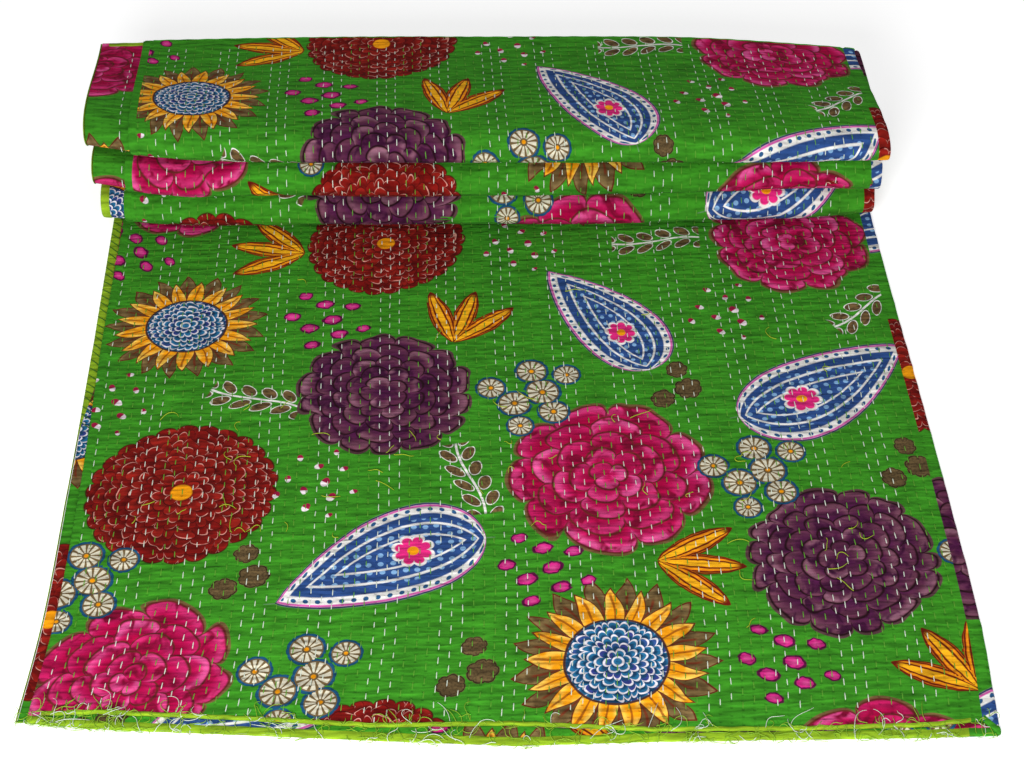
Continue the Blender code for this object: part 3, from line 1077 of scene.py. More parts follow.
def draw_sunflower() -> bpy.types.NodeTree:
    """A round sunflower: amber petals over brown ones, all pointed, round a disc of blue scales."""
    sheet, x, y, seed = motif_sheet(Motif.SUNFLOWER)
    bend = sheet.noise(sheet.joined(x, y, seed), 1.8) - 0.5
    radius = x.length_with(y) + bend * 0.05
    angle = y.angle_from(x) + bend * 0.3
    streak = sheet.noise(sheet.joined(x * 2.0, y * 2.0, seed), 4.0, 1.0)
    colour: Value = OLIVE
    mask: Signal | None = None
    rings = ((0.98, 0.5, rgb(92, 72, 42), rgb(126, 104, 66)), (0.86, 0.0, AMBER, rgb(240, 196, 84)))
    for reach, start, root, tip in rings:
        off, _ = petal_turn(angle, 17, start)
        inside = (1.0 - off).most(0.0).power(0.62) * 0.40 + (reach - 0.40) - radius
        petal = painted(root, tip, inside.fall(0.03, 0.26) * streak.rise(0.35, 0.6))
        petal = painted(petal, rgb(110, 30, 16), off.fall(0.05, 0.13) * radius.fall(0.74, 0.80) * 0.7)
        petal = painted(petal, rgb(92, 24, 18), inside.near(0.015, 0.022))
        shown = inside.rise(0.0, 0.02)
        colour = painted(colour, petal, shown)
        mask = shown if mask is None else mask.most(shown)
    wander = sheet.noise(sheet.joined(x, y, seed + 2.0), 4.0) - 0.5
    depth, _, number = scale_rings(radius + wander * 0.08, angle + wander * 0.6, 13.0)
    seeds = painted(rgb(36, 104, 146), rgb(50, 60, 130), hashed(number, 3.0).rise(0.72, 0.8))
    seeds = painted(seeds, rgb(24, 62, 96), depth.rise(0.5, 0.9))
    seeds = painted(seeds, rgb(222, 216, 222), depth.near(0.15, 0.13))
    colour = painted(colour, seeds, radius.fall(0.47, 0.48))
    return sheet.give(Color=painted(colour, rgb(70, 44, 40), radius.near(0.475, 0.012)), Mask=mask)


def draw_paisley() -> bpy.types.NodeTree:
    """A paisley: a curled drop, round at one end, with dotted rows inside its rim and a small flower.

    Its half width is a root curve from the round end times a falling curve to the tip, about a
    middle line that bends away with the square of the way along.
    """
    sheet, x, y, _ = motif_sheet(Motif.PAISLEY)
    part = (x * 0.5 + 0.5).most(0.0).least(1.0)
    middle = part * part * 0.62 - 0.22
    half = part.power(0.5) * (1.0 - part).power(0.85) * 1.45
    inside = half - (y - middle).size()
    dots = sheet.cells(sheet.joined(x, y), 9.0, 0.15)
    colour = painted(CREAM, NAVY, inside.rise(0.13, 0.15))
    colour = painted(colour, SKY, dots.fall(0.22, 0.28) * inside.rise(0.20, 0.22))
    colour = painted(colour, CREAM, inside.near(0.27, 0.015).most(inside.near(0.42, 0.012)))
    row = ((x * 9.0).fraction() - 0.5).length_with((inside - 0.085) * 9.0)
    colour = painted(colour, rgb(40, 84, 128), row.fall(0.20, 0.26))
    flower_x, flower_y = x + 0.30, y + 0.13
    off, _ = petal_turn(flower_y.angle_from(flower_x), 8, 0.0)
    away = flower_x.length_with(flower_y)
    petals = (1.04 - off * off).power(0.5) * 0.07 + 0.15 - away
    colour = painted(colour, painted(ROSE, CREAM, petals.near(0.02, 0.02)), petals.rise(0.0, 0.015))
    colour = painted(colour, AMBER, away.fall(0.05, 0.06))
    colour = painted(colour, rgb(196, 84, 158), inside.near(0.035, 0.014))
    colour = painted(colour, rgb(54, 32, 92), inside.near(0.008, 0.012))
    return sheet.give(Color=colour, Mask=inside.rise(-0.01, 0.01))


def draw_leaf() -> bpy.types.NodeTree:
    """A long pointed leaf, amber, with dark red lines from base to tip and dark edges."""
    sheet, x, y, seed = motif_sheet(Motif.LEAF)
    part = x * 0.5 + 0.5
    bend = (sheet.noise(sheet.joined(x * 2.0, y, seed), 1.5) - 0.5) * 0.2
    half = (part * math.pi).sine().most(0.0).power(0.7)
    across = y + bend
    inside = half - across.size()
    stripe = (across / half.most(0.08)).size()
    dark = rgb(104, 24, 12)
    line = stripe.near(0.36, 0.085).most(stripe.near(0.74, 0.08)).most(part.rise(0.84, 0.95))
    colour = painted(painted(rgb(226, 132, 18), rgb(240, 172, 26), stripe.fall(0.3, 0.6)), dark, line)
    return sheet.give(Color=painted(colour, dark, inside.near(0.06, 0.09)), Mask=inside.rise(0.0, 0.05))


def draw_sprig() -> bpy.types.NodeTree:
    """A curved pale stem with pairs of slanting olive leaves along it."""
    sheet, x, y, seed = motif_sheet(Motif.SPRIG)
    off_stem = (y - (x * 2.2).sine() * 0.22).size()
    along = ((x * 2.6).fraction() - 0.5) / 2.6 - (off_stem - 0.1) * 0.35 + 0.05
    leaf = 1.0 - (along / 0.15).length_with((off_stem - 0.34) / 0.27)
    ends = x.size().fall(0.88, 0.92)
    grain = sheet.noise(sheet.joined(x, y, seed), 7.0, 2.0).rise(0.4, 0.7)
    colour = painted(painted(OLIVE, rgb(70, 56, 36), grain), CREAM, leaf.near(0.06, 0.07))
    stem = off_stem.fall(0.035, 0.05)
    return sheet.give(Color=painted(colour, CREAM, stem), Mask=leaf.rise(-0.02, 0.04).most(stem) * ends)


def draw_daisy() -> bpy.types.NodeTree:
    """A daisy: blue edge, pale petals with brown between them, a brown middle."""
    sheet, x, y, seed = motif_sheet(Motif.DAISY)
    bend = sheet.noise(sheet.joined(x, y, seed), 1.2) - 0.5
    radius = x.length_with(y) + bend * 0.06
    angle = y.angle_from(x) + bend * 0.2
    off, _ = petal_turn(angle, 12, 0.0)
    brown = rgb(108, 88, 56)
    petals = (0.80 - off).least((0.78 - radius) * 7.0).least((radius - 0.20) * 7.0)
    colour = painted(brown, rgb(24, 74, 108), radius.rise(0.80, 0.84))
    colour = painted(colour, rgb(206, 200, 178), petals.rise(0.10, 0.30))
    colour = painted(colour, AMBER, radius.fall(0.10, 0.14))
    edge = (1.04 - off * off).power(0.5) * 0.06 + 0.94 - radius
    colour = painted(colour, rgb(16, 50, 90), edge.near(0.02, 0.03))
    return sheet.give(Color=colour, Mask=edge.rise(0.0, 0.04))


def draw_leaflet() -> bpy.types.NodeTree:
    """A small brown lobed leaf with a dark edge."""
    sheet, x, y, seed = motif_sheet(Motif.LEAFLET)
    radius = x.length_with(y * 1.1) + (sheet.noise(sheet.joined(x, y, seed), 2.0) - 0.5) * 0.2
    off, _ = petal_turn(y.angle_from(x), 7, seed * 0.3)
    inside = (1.04 - off * off).power(0.5) * 0.16 + 0.78 - radius
    grain = sheet.noise(sheet.joined(x, y, seed), 6.0, 2.0).rise(0.4, 0.7)
    colour = painted(rgb(96, 78, 50), rgb(70, 56, 36), grain)
    colour = painted(colour, rgb(44, 36, 22), inside.near(0.07, 0.035))
    return sheet.give(Color=colour, Mask=inside.rise(-0.02, 0.02))


def draw_pebble() -> bpy.types.NodeTree:
    """A small pink pebble with a dark edge."""
    sheet, x, y, seed = motif_sheet(Motif.PEBBLE)
    radius = (x * 0.85).length_with(y * 1.2) + (sheet.noise(sheet.joined(x, y, seed), 1.5) - 0.5) * 0.5
    colour = painted(rgb(190, 34, 118), rgb(214, 84, 150), radius.fall(0.1, 0.6) * 0.6)
    colour = painted(colour, rgb(80, 14, 56), radius.rise(0.62, 0.70))
    return sheet.give(Color=colour, Mask=radius.fall(0.84, 0.94))


def draw_bud() -> bpy.types.NodeTree:
    """A tiny bud: red at its root and white at its tip."""
    sheet, x, y, seed = motif_sheet(Motif.BUD)
    tilt = (seed * 2.1).sine() * 0.8
    side = x + y * tilt
    radius = side.length_with((y - x * tilt) * 1.5) + (sheet.noise(sheet.joined(x, y, seed), 1.4) - 0.5) * 0.4
    colour = painted(rgb(150, 22, 62), rgb(226, 214, 220), side.rise(0.0, 0.12))
    return sheet.give(Color=colour, Mask=radius.fall(0.76, 0.90))


DRAWINGS: dict[Motif, Callable[[], bpy.types.NodeTree]] = {
    Motif.SPRIG: draw_sprig, Motif.LEAF: draw_leaf, Motif.PAISLEY: draw_paisley,
    Motif.PLUM_FLOWER: PLUM_FLOWER.draw, Motif.DAHLIA: draw_dahlia, Motif.SUNFLOWER: draw_sunflower,
    Motif.PEONY: PEONY.draw, Motif.LEAFLET: draw_leaflet, Motif.DAISY: draw_daisy,
    Motif.PEBBLE: draw_pebble, Motif.BUD: draw_bud,
}


@dataclass(frozen=True)
class PrintRun:
    """Where a face of the cloth takes its print from the printed length.

    Args:
        across: How far the print is shifted across the cloth.
        along: How far it is shifted along the cloth.
    """

    across: float = 0.0
    along: float = 0.0

    def chart(self, distance: Numbers, travel: Numbers) -> tuple[Numbers, Numbers]:
        """Places on the chart, from distance to the fold and distance along the cloth."""
        return PRINT_WIDTH - distance + self.across, travel + self.along

    def lay(self, item: bpy.types.Object, distance: Numbers, travel: Numbers) -> Numbers:
        """Writes each motif's own coordinates to the face corners they cover.

        For each motif, a corner's place is taken from the middle of the nearest one of its kind,
        turned back and divided by its size. The third number says which one it is.

        Args:
            item: The sheet of cloth, all quads.
            distance: Distance from the fold at each point.
            travel: Distance along the cloth at each point.

        Returns:
            For each face and kind of motif, whether that kind covers any of the face.
        """
        mesh = item.data
        count = len(mesh.polygons)
        corner = np.empty(count * 4, np.int32)
        mesh.loops.foreach_get("vertex_index", corner)
        across, along = (part.ravel()[corner].reshape(count, 4) for part in self.chart(distance, travel))
        middle_across, middle_along = across.mean(1), along.mean(1)
        covered = np.zeros((count, len(Motif)), bool)
        for kind, (motif, places) in enumerate(CHART.items()):
            local = np.zeros((count, 4, 3), np.float32)
            best = np.full(count, np.inf)
            for number, place in enumerate(places):
                middle = np.array((place.across, place.along)) * MM
                wraps = np.round((middle_along - middle[1]) / PRINT_REPEAT) * PRINT_REPEAT
                turns = np.round((middle_across - middle[0]) / PRINT_WIDTH) * PRINT_WIDTH
                reach = 1.5 * MM * math.hypot(place.wide, place.tall) + 6 * MM
                far_across = np.abs(middle_across - middle[0] - turns)
                far_along = np.abs(middle_along - middle[1] - wraps)
                close = np.flatnonzero((far_across < reach) & (far_along < reach))
                x = across[close] - middle[0] - turns[close, None]
                y = along[close] - middle[1] - wraps[close, None]
                angle = math.radians(place.turn)
                u = (x * math.cos(angle) + y * math.sin(angle)) / (place.wide * MM)
                v = (y * math.cos(angle) - x * math.sin(angle)) / (place.tall * MM)
                away = np.maximum(np.abs(u), np.abs(v)).min(1)
                use = (away < 1.08) & (away < best[close])
                chosen = close[use]
                best[chosen] = away[use]
                local[chosen] = np.stack([u[use], v[use], np.full_like(u[use], number)], 2)
                covered[chosen, kind] = True
            if covered[:, kind].any():
                attribute = mesh.attributes.new(f"{motif.value}_place", "FLOAT_VECTOR", "CORNER")
                attribute.data.foreach_set("vector", local.ravel())
        return covered


def write_vectors(item: bpy.types.Object, name: str, vectors: Numbers) -> None:
    """Writes one vector for each point of a mesh."""
    attribute = item.data.attributes.new(name, "FLOAT_VECTOR", "POINT")
    attribute.data.foreach_set("vector", np.ascontiguousarray(vectors, np.float32).ravel())


# ---------------------------------------------------------------------------------------------
# Finishes.


def cotton_sheet() -> bpy.types.NodeTree:
    """Quilted cotton: soft fading, fine plain weave, puckers between stitches, dips along the rows.

    Place is how far the point lies from the fold and along the cloth, in metres. Puckers are
    noise stretched across the cloth. Each stitched row lies at a whole multiple of the row pitch
    from the fold, and its dips lie where the thread goes in and comes out. The dye is darkened
    where the pucker and fine noise are low and at the dips: painted shade.
    """
    inlets = [("Dye", "Color"), ("Place", "Vector"), ("Quilting", "Float")]
    outlets = [("Color", "Color"), ("Roughness", "Float"), ("Normal", "Vector")]
    sheet = Sheet("quilted_cotton", inlets, outlets)
    distance, travel, _ = sheet.parts(sheet.given("Place"))
    quilting = sheet.given("Quilting")
    wide = sheet.noise(sheet.joined(distance, travel), 4.0, 2.0)
    pucker = sheet.noise(sheet.joined(distance * 24.0, travel * 130.0), 1.0, 1.0, 0.3)
    fine = sheet.noise(sheet.joined(distance * 110.0, travel * 260.0), 1.0, 1.0)
    row = distance / ROW_PITCH
    number = (row + 0.5).floor()
    off_row = (row - number).size() * (ROW_PITCH / MM)
    phase = (travel / STITCH_PITCH - number * GOLDEN).fraction()
    thread = STITCH_LENGTH / STITCH_PITCH
    hole = phase.near(0.0, 0.07).most(phase.near(1.0, 0.07)).most(phase.near(thread, 0.07))
    dimple = off_row.fall(0.4, 2.6) * (hole * 0.75 + 0.25)
    warp = (distance * (math.tau / (0.8 * MM))).sine()
    weft = (travel * (math.tau / (0.9 * MM))).sine()
    height = pucker * 2.0 + fine * 0.2 - dimple * 0.5 * quilting + (warp + weft) * 0.03
    # Value of the colour: soft fading from the wide noise, and painted shade where the pucker and fine noise
    # are low and at the stitch dips.
    fading_and_painted_shade = (wide - 0.5) * 0.30 + (pucker - 0.5) * 1.5 + (fine - 0.5) * 0.3 - dimple * quilting * 0.10 + 1.06
    value = sheet.tree.nodes.new("ShaderNodeHueSaturation")
    plug(sheet.given("Dye"), value.inputs["Color"])
    plug(fading_and_painted_shade, value.inputs["Value"])
    bump = sheet.tree.nodes.new("ShaderNodeBump")
    bump.inputs["Strength"].default_value = 0.8
    bump.inputs["Distance"].default_value = 1.9 * MM
    plug(height, bump.inputs["Height"])
    roughness = 0.92 - fine * 0.12
    return sheet.give(
        Color=Signal(sheet.tree, value.outputs[0]),
        Roughness=roughness,
        Normal=Signal(sheet.tree, bump.outputs[0]),
    )


@dataclass(frozen=True)
class Cotton:
    """A dyed cotton's shader.

    Args:
        name: The material's name.
        sheen: How much light catches in its nap.
        quilting: How deep its stitched rows pull in, in the bump and in the painted shade at the stitch dips.
    """

    name: str
    sheen: float = 0.01
    quilting: float = 1.0

    def material(
        self, dye: Callable[[bpy.types.NodeTree], Value], finish: bpy.types.NodeTree
    ) -> bpy.types.Material:
        """The material.

        Args:
            dye: What gives the cloth's colour in a node tree.
            finish: The quilted cotton's group.

        Returns:
            The material, with its shader linked.
        """
        material = bpy.data.materials.new(self.name)
        material.use_nodes = True
        tree = material.node_tree
        shader = tree.nodes["Principled BSDF"]
        shader.inputs["Specular IOR Level"].default_value = 0.05
        shader.inputs["Sheen Weight"].default_value = self.sheen
        shader.inputs["Sheen Roughness"].default_value = 0.6
        place = from_attribute(tree, "cloth_place")
        cloth = placed(tree, finish, Dye=dye(tree), Place=place, Quilting=self.quilting)
        plug(Signal(tree, cloth.outputs["Color"]), shader.inputs["Base Color"])
        plug(Signal(tree, cloth.outputs["Roughness"]), shader.inputs["Roughness"])
        plug(Signal(tree, cloth.outputs["Normal"]), shader.inputs["Normal"])
        return material


class Dyehouse:
    """Makes each finish once and hands it out."""

    def __init__(self) -> None:
        self.finish = cotton_sheet()
        self.drawings = {motif: DRAWINGS[motif]() for motif in Motif}
        self.prints: dict[tuple[bool, ...], bpy.types.Material] = {}
        self.lime = self.plain("lime_cotton", LIME)
        self.green = self.plain("leaf_green_cotton", LEAF_GREEN)

    def printed(self, covered: tuple[bool, ...]) -> bpy.types.Material:
        """The printed cotton for faces that these kinds of motif cover."""
        if covered not in self.prints:
            motifs = [motif for motif, here in zip(CHART, covered) if here]
            name = "_".join(["printed_cotton", *(motif.value for motif in motifs)])[:60]
            self.prints[covered] = Cotton(name).material(lambda tree: self._dye(tree, motifs), self.finish)
        return self.prints[covered]

    def _dye(self, tree: bpy.types.NodeTree, motifs: Iterable[Motif]) -> Value:
        colour: Value = LEAF_GREEN
        for motif in motifs:
            drawn = placed(tree, self.drawings[motif], Place=from_attribute(tree, f"{motif.value}_place"))
            above, mask = (Signal(tree, drawn.outputs[outlet]) for outlet in ("Color", "Mask"))
            colour = painted(colour, above, mask)
        return colour

    def plain(self, name: str, colour: Colour) -> bpy.types.Material:
        """A plain dyed cotton strip."""
        return Cotton(name, quilting=0.3).material(lambda tree: colour, self.finish)

    def thread(self, name: str, colour: Colour) -> bpy.types.Material:
        """A cotton thread: fine twist across it in the bump, and painted shade: its colour darker where the
        twist's bump is low.
        """
        material = bpy.data.materials.new(name)
        material.use_nodes = True
        tree = material.node_tree
        shader = tree.nodes["Principled BSDF"]
        shader.inputs["Roughness"].default_value = 0.75
        shader.inputs["Specular IOR Level"].default_value = 0.25
        coordinates = tree.nodes.new("ShaderNodeTexCoord")
        noise = tree.nodes.new("ShaderNodeTexNoise")
        noise.inputs["Scale"].default_value = 900.0
        tree.links.new(coordinates.outputs["Object"], noise.inputs["Vector"])
        twist = Signal(tree, noise.outputs[0])
        # Painted shade: the colour is darkened where the twist noise, which also drives the bump, is low.
        groove_shade = tuple(part * 0.62 for part in colour[:3]) + (1.0,)
        plug(painted(groove_shade, colour, twist.rise(0.30, 0.55)), shader.inputs["Base Color"])
        bump = tree.nodes.new("ShaderNodeBump")
        bump.inputs["Strength"].default_value = 0.5
        bump.inputs["Distance"].default_value = 0.3 * MM
        plug(twist, bump.inputs["Height"])
        plug(Signal(tree, bump.outputs[0]), shader.inputs["Normal"])
        return material


# ---------------------------------------------------------------------------------------------
# Cloth pieces.


class Ply(Enum):
    """The two plies of the folded quilt."""

    UPPER = "upper"
    LOWER = "lower"

    def edge(self, travel: Numbers) -> Numbers:
        """Distance of the ply's side edge from the long fold."""
        return upper_edge(travel) if self is Ply.UPPER else lower_edge(travel)

    def place(self, distance: Numbers) -> Numbers:
        """Place across the cloth at that distance from the long fold."""
        return upper_place(distance) if self is Ply.UPPER else lower_place(distance)


class Side(Enum):
    """A ply's two faces."""

    OUTER = 1.0
    INNER = -1.0


FRONT_PRINT = PrintRun()
LINING_PRINT = PrintRun(0.30, 0.45)
SECOND_PRINT = PrintRun(0.42, 0.30)
INNER_PRINT = PrintRun(0.14, 0.20)
SHOWN_LOWER_WIDTH = 14 * MM
PLAIN_STRIP_FROM = 1.0
EDGE_ROWS = (Rows(RUN, 0, 0.0, FRONT_SPLIT, 220), *PLEAT_ROWS)


@dataclass
class ClothFace:
    """One printed face of one panel, as a thin sheet on the folded cloth.

    Args:
        name: The piece's name.
        node: The solid that it stands for.
        slot: The record's material slot; not used, as dress does nothing with it.
        ply: The ply whose side edge it runs to.
        side: Which face of the ply it is.
        rows: The stretches its rows lie on.
        shares: Its columns, as shares of the way from its inner edge to its side edge.
        start: Place across the cloth of its inner edge.
        print_run: Where it takes its print from.
        relief: The quilting's relief.
    """

    name: str
    node: str
    slot: str
    ply: Ply
    side: Side
    rows: Sequence[Rows]
    shares: Numbers
    start: float
    print_run: PrintRun
    relief: Relief

    def build(self, dyehouse: Dyehouse) -> bpy.types.Object:
        """Make the sheet, its print coordinates and its materials.

        Args:
            dyehouse: Where its finishes come from.

        Returns:
            The finished object.
        """
        travel = LINE.middle_travel(self.rows)
        end = self.ply.place(self.ply.edge(travel) - 2.5 * MM)
        place = self.start + (end - self.start)[:, None] * self.shares
        grid = cloth_grid(self.rows, place, self._lift)
        flip = (self.side is Side.OUTER) == (self.ply is Ply.UPPER)
        item = mesh_object(self.name, grid.points.reshape(-1, 3), grid_faces(*place.shape, flip))
        write_vectors(item, "cloth_place", np.stack([grid.distance, grid.travel, 0.0 * grid.travel], 2))
        print_cloth(item, dyehouse, self.print_run, grid)
        dress(item, self.slot, self.node)
        return item

    def _lift(self, distance: Numbers, travel: Numbers, facing: Numbers) -> Numbers:
        height = self.relief.over_ply(self.ply, distance, travel, facing)
        return height if self.side is Side.OUTER else -PLY / 2 - 0.25 * (height - PLY / 2)


def print_cloth(item: bpy.types.Object, dyehouse: Dyehouse, print_run: PrintRun, grid: Grid) -> None:
    """Lays the print on a piece and gives each face the cotton with the motifs that cover it."""
    covered = print_run.lay(item, grid.distance, grid.travel)
    kinds, number = np.unique(covered, axis=0, return_inverse=True)
    for kind in kinds:
        item.data.materials.append(dyehouse.printed(tuple(bool(here) for here in kind)))
    item.data.polygons.foreach_set("material_index", number.astype(np.int32).ravel())


def dress(item: bpy.types.Object, slot: str, *nodes: str) -> None:
    """Ties a finished piece to the model: what it moves with, and hides the solids it stands for."""
    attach(item, "root")
    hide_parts(*nodes)


def binding_profile(width: float) -> tuple[Numbers, Numbers]:
    """A folded strip's section: how far in from the edge, and the lift from the ply's middle.

    The strip lies on one face, turns round the edge on a half circle, and lies on the other. It
    stands a little proud of the cloth, most in its middle, and its inner edges tuck in.
    """
    flat = np.linspace(1.0, 0.12, 6)
    swell = PLY / 2 + 0.45 * MM + 0.55 * MM * np.sin(np.pi * flat**0.8)
    swell[0] = PLY / 2 - 0.35 * MM
    angle = np.linspace(80.0, -80.0, 7) * (math.pi / 180.0)
    radius = PLY / 2 + 0.55 * MM
    inset = np.concatenate([flat * width, 1.1 * MM * (1.0 - np.cos(angle)) - 0.3 * MM, flat[::-1] * width])
    return inset, np.concatenate([swell, radius * np.sin(angle), -swell[::-1]])


@dataclass
class SideBinding:
    """The folded strip along a ply's side edge.

    Args:
        name: The piece's name.
        slot: The record's material slot; not used, as dress does nothing with it.
        ply: Which ply it binds.
        width: How far it reaches in from the edge.
        relief: The quilting's relief.
        print_run: Where it takes its print from, or None if it is plain lime cotton.
        narrow: What part of its width its inner side keeps in the pleats and near the front.
    """

    name: str
    slot: str
    ply: Ply
    width: float
    relief: Relief
    print_run: PrintRun | None = None
    narrow: float = 1.0

    def build(self, dyehouse: "Dyehouse") -> bpy.types.Object:
        """Make the strip: its section at each row of the folded cloth, closed at both ends.

        A printed strip is plain leaf green in the stack.
        """
        travel = LINE.middle_travel(EDGE_ROWS)
        inset, lift = binding_profile(self.width)
        slim = 1.0 - (1.0 - self.narrow) * np.maximum(ease(1.44, 1.62, travel), ease(0.58, 0.46, travel))
        wide = np.where((lift < 0.0) & (inset > 2.0 * MM), slim[:, None], 1.0) * inset
        place = self.ply.place(self.ply.edge(travel)[:, None] - wide)
        ends = np.ones((len(travel), 1))
        ends[[0, -1]] = 0.0

        def lifted(distance: Numbers, along: Numbers, facing: Numbers) -> Numbers:
            over = self.relief.over_ply(self.ply, distance, along, facing) - PLY / 2
            return (lift + np.where(lift > 0.0, over, -over)) * ends

        grid = cloth_grid(EDGE_ROWS, place, lifted)
        faces = grid_faces(*place.shape, self.ply is Ply.LOWER)
        item = mesh_object(self.name, grid.points.reshape(-1, 3), faces)
        write_vectors(item, "cloth_place", np.stack([grid.distance, grid.travel, 0.0 * grid.travel], 2))
        if self.print_run is None:
            item.data.materials.append(dyehouse.lime)
        else:
            print_cloth(item, dyehouse, self.print_run, grid)
            item.data.materials.append(dyehouse.green)
            kinds = np.empty(len(faces), np.int32)
            item.data.polygons.foreach_get("material_index", kinds)
            kinds[grid.travel.ravel()[faces[:, 0]] > PLAIN_STRIP_FROM] = len(item.data.materials) - 1
            item.data.polygons.foreach_set("material_index", kinds)
        dress(item, self.slot, f"binding_side_{self.ply.value}")
        return item


@dataclass
class HemBinding:
    """The folded strip along a ply's front or back hem.

    Args:
        ply: Which ply it binds.
        places: Places across the cloth that it runs over.
        width: How far it reaches in from the hem.
        front: Whether it is at the front.
    """

    ply: Ply
    places: Numbers
    width: float
    front: bool

    def build(self, dyehouse: Dyehouse) -> bpy.types.Object:
        """Make the strip: its section at each place across the cloth, closed at both ends.

        It is green near the fold and, at the back, on top. The rest is lime.
        """
        inward, level = (1.0, FLOOR_LINE) if self.front else (-1.0, BACK_HEM_LEVEL)
        inset, lift = binding_profile(self.width)
        if not self.front:
            inset = np.where((lift > 0.0) & (inset > 0.0), 0.12 * inset, inset)
        inset = inset * inward
        place = self.places[:, None] + 0.0 * inset
        distance = fold_distance(place)
        hem = front_hem(place) if self.front else smooth_table(ACROSS, BACK_HEM, distance)
        ends = np.ones((len(self.places), 1))
        ends[[0, -1]] = 0.0
        x, height = round_fold(place, lift * ends)
        start = 0.0 if self.front else float(LINE.travel[-1])
        side_x = smooth_table(ALONG, FOLD_SIDE, start + inset) + x
        wobble = 0.4 * MM * np.sin(self.places * 210.0)[:, None]
        points = np.stack([side_x, hem + inset + wobble * inward, level + height], 2) - ORIGIN
        end = "front" if self.front else "back"
        faces = grid_faces(*place.shape, not self.front)
        item = mesh_object(f"{end}_binding_{self.ply.value}", points.reshape(-1, 3), faces)
        write_vectors(item, "cloth_place", np.stack([distance, hem + inset, 0.0 * hem], 2))
        item.data.materials.append(dyehouse.lime)
        item.data.materials.append(dyehouse.green)
        green = (distance < 30 * MM) | ((lift > 0.0) & (not self.front))
        item.data.polygons.foreach_set("material_index", green.ravel()[faces[:, 0]].astype(np.int32))
        dress(item, "lime_binding", f"binding_{end}_{self.ply.value}")
        return item


# ---------------------------------------------------------------------------------------------
# Threads.


@dataclass
class RunningStitches:
    """The rows of running stitch that show on the upper ply.

    Args:
        name: The piece's name.
        rows: Which rows of each group of six are sewn in this thread.
        relief: The quilting's relief.
        stations: Cross-sections in one stitch.
    """

    name: str
    rows: tuple[int, ...]
    relief: Relief
    stations: int = 5

    WIDE = 0.62 * MM
    TALL = 0.70 * MM

    def build(self, material: bpy.types.Material) -> bpy.types.Object:
        """Make the stitches.

        A stitch is a low arch of thread: it follows the cloth along its row, rises from just
        under the cloth and sinks back, and its section is the upper half of an ellipse.
        """
        random = np.random.default_rng(SEED + 40 + self.rows[0])
        numbers = np.arange(2, int(upper_edge(np.zeros(1))[0] / ROW_PITCH))
        numbers = numbers[np.isin(numbers % 6, self.rows)]
        distance = numbers * ROW_PITCH
        place = np.broadcast_to(upper_place(distance), (sum(r.count for r in THREAD_ROWS), len(numbers)))
        grid = cloth_grid(THREAD_ROWS, place, lambda *at: self.relief.over_ply(Ply.UPPER, *at))
        first = np.arange(0, int(LINE.travel[-1] / STITCH_PITCH) + 2)
        shown = stitch_windows()
        blocks = [
            self._row(grid, column, (first + (number * GOLDEN) % 1.0) * STITCH_PITCH, shown, random)
            for column, number in enumerate(numbers)
        ]
        points = np.concatenate(blocks)
        tiles = grid_faces(self.stations, 4)
        faces = (np.arange(len(points))[:, None, None] * self.stations * 4 + tiles).reshape(-1, 4)
        item = mesh_object(self.name, points.reshape(-1, 3), faces)
        item.data.materials.append(material)
        dress(item, "main_print")
        return item

    def _row(
        self,
        grid: Grid,
        column: int,
        starts: Numbers,
        shown: Sequence[tuple[float, float]],
        random: np.random.Generator,
    ) -> Numbers:
        keep = np.zeros(len(starts), bool)
        for low, high in shown:
            keep |= (starts > low) & (starts + STITCH_LENGTH < high)
        starts = starts[keep]
        length = STITCH_LENGTH * random.uniform(0.8, 1.12, (len(starts), 1))
        part = np.linspace(0.0, 1.0, self.stations)
        travel = starts[:, None] + random.normal(0.0, 0.5 * MM, (len(starts), 1)) + length * part
        along = grid.travel[:, column]
        centre = np.stack([np.interp(travel, along, grid.points[:, column, axis]) for axis in range(3)], 2)
        up = np.stack([np.interp(travel, along, grid.normal[:, column, axis]) for axis in range(3)], 2)
        arch = np.maximum(np.sin(np.pi * part), 0.0) ** 0.4
        angle = np.linspace(math.pi, 0.0, 4)
        offset = random.normal(0.0, 0.25 * MM, (len(starts), 1))
        drift = offset + random.normal(0.0, 0.03, (len(starts), 1)) * length * (part - 0.5)
        side = drift[..., None] + self.WIDE * (0.55 + 0.45 * arch[:, None]) * np.cos(angle)
        lift = -0.15 * MM + (self.TALL * arch)[:, None] * (0.35 + 0.65 * np.sin(angle)) + 0.0 * side
        points = centre[:, :, None] + up[:, :, None] * lift[..., None]
        points[..., 0] += side
        return points


def stitch_windows() -> list[tuple[float, float]]:
    """The lengths of cloth whose stitches show: the run, the front turns and the top."""
    windows = [(0.006, 0.97)]
    for index in (1, 3):
        low, high = LINE.middle_travel([Rows(TURN, index, 0.0, 1.0, 2)])
        windows.append((float(low), float(high)))
    last_turn = LINE.middle_travel([Rows(TURN, 5, 0.0, 1.0, 2)])
    windows.append((float(last_turn[0]), float(LINE.travel[-1]) - 12 * MM))
    return windows


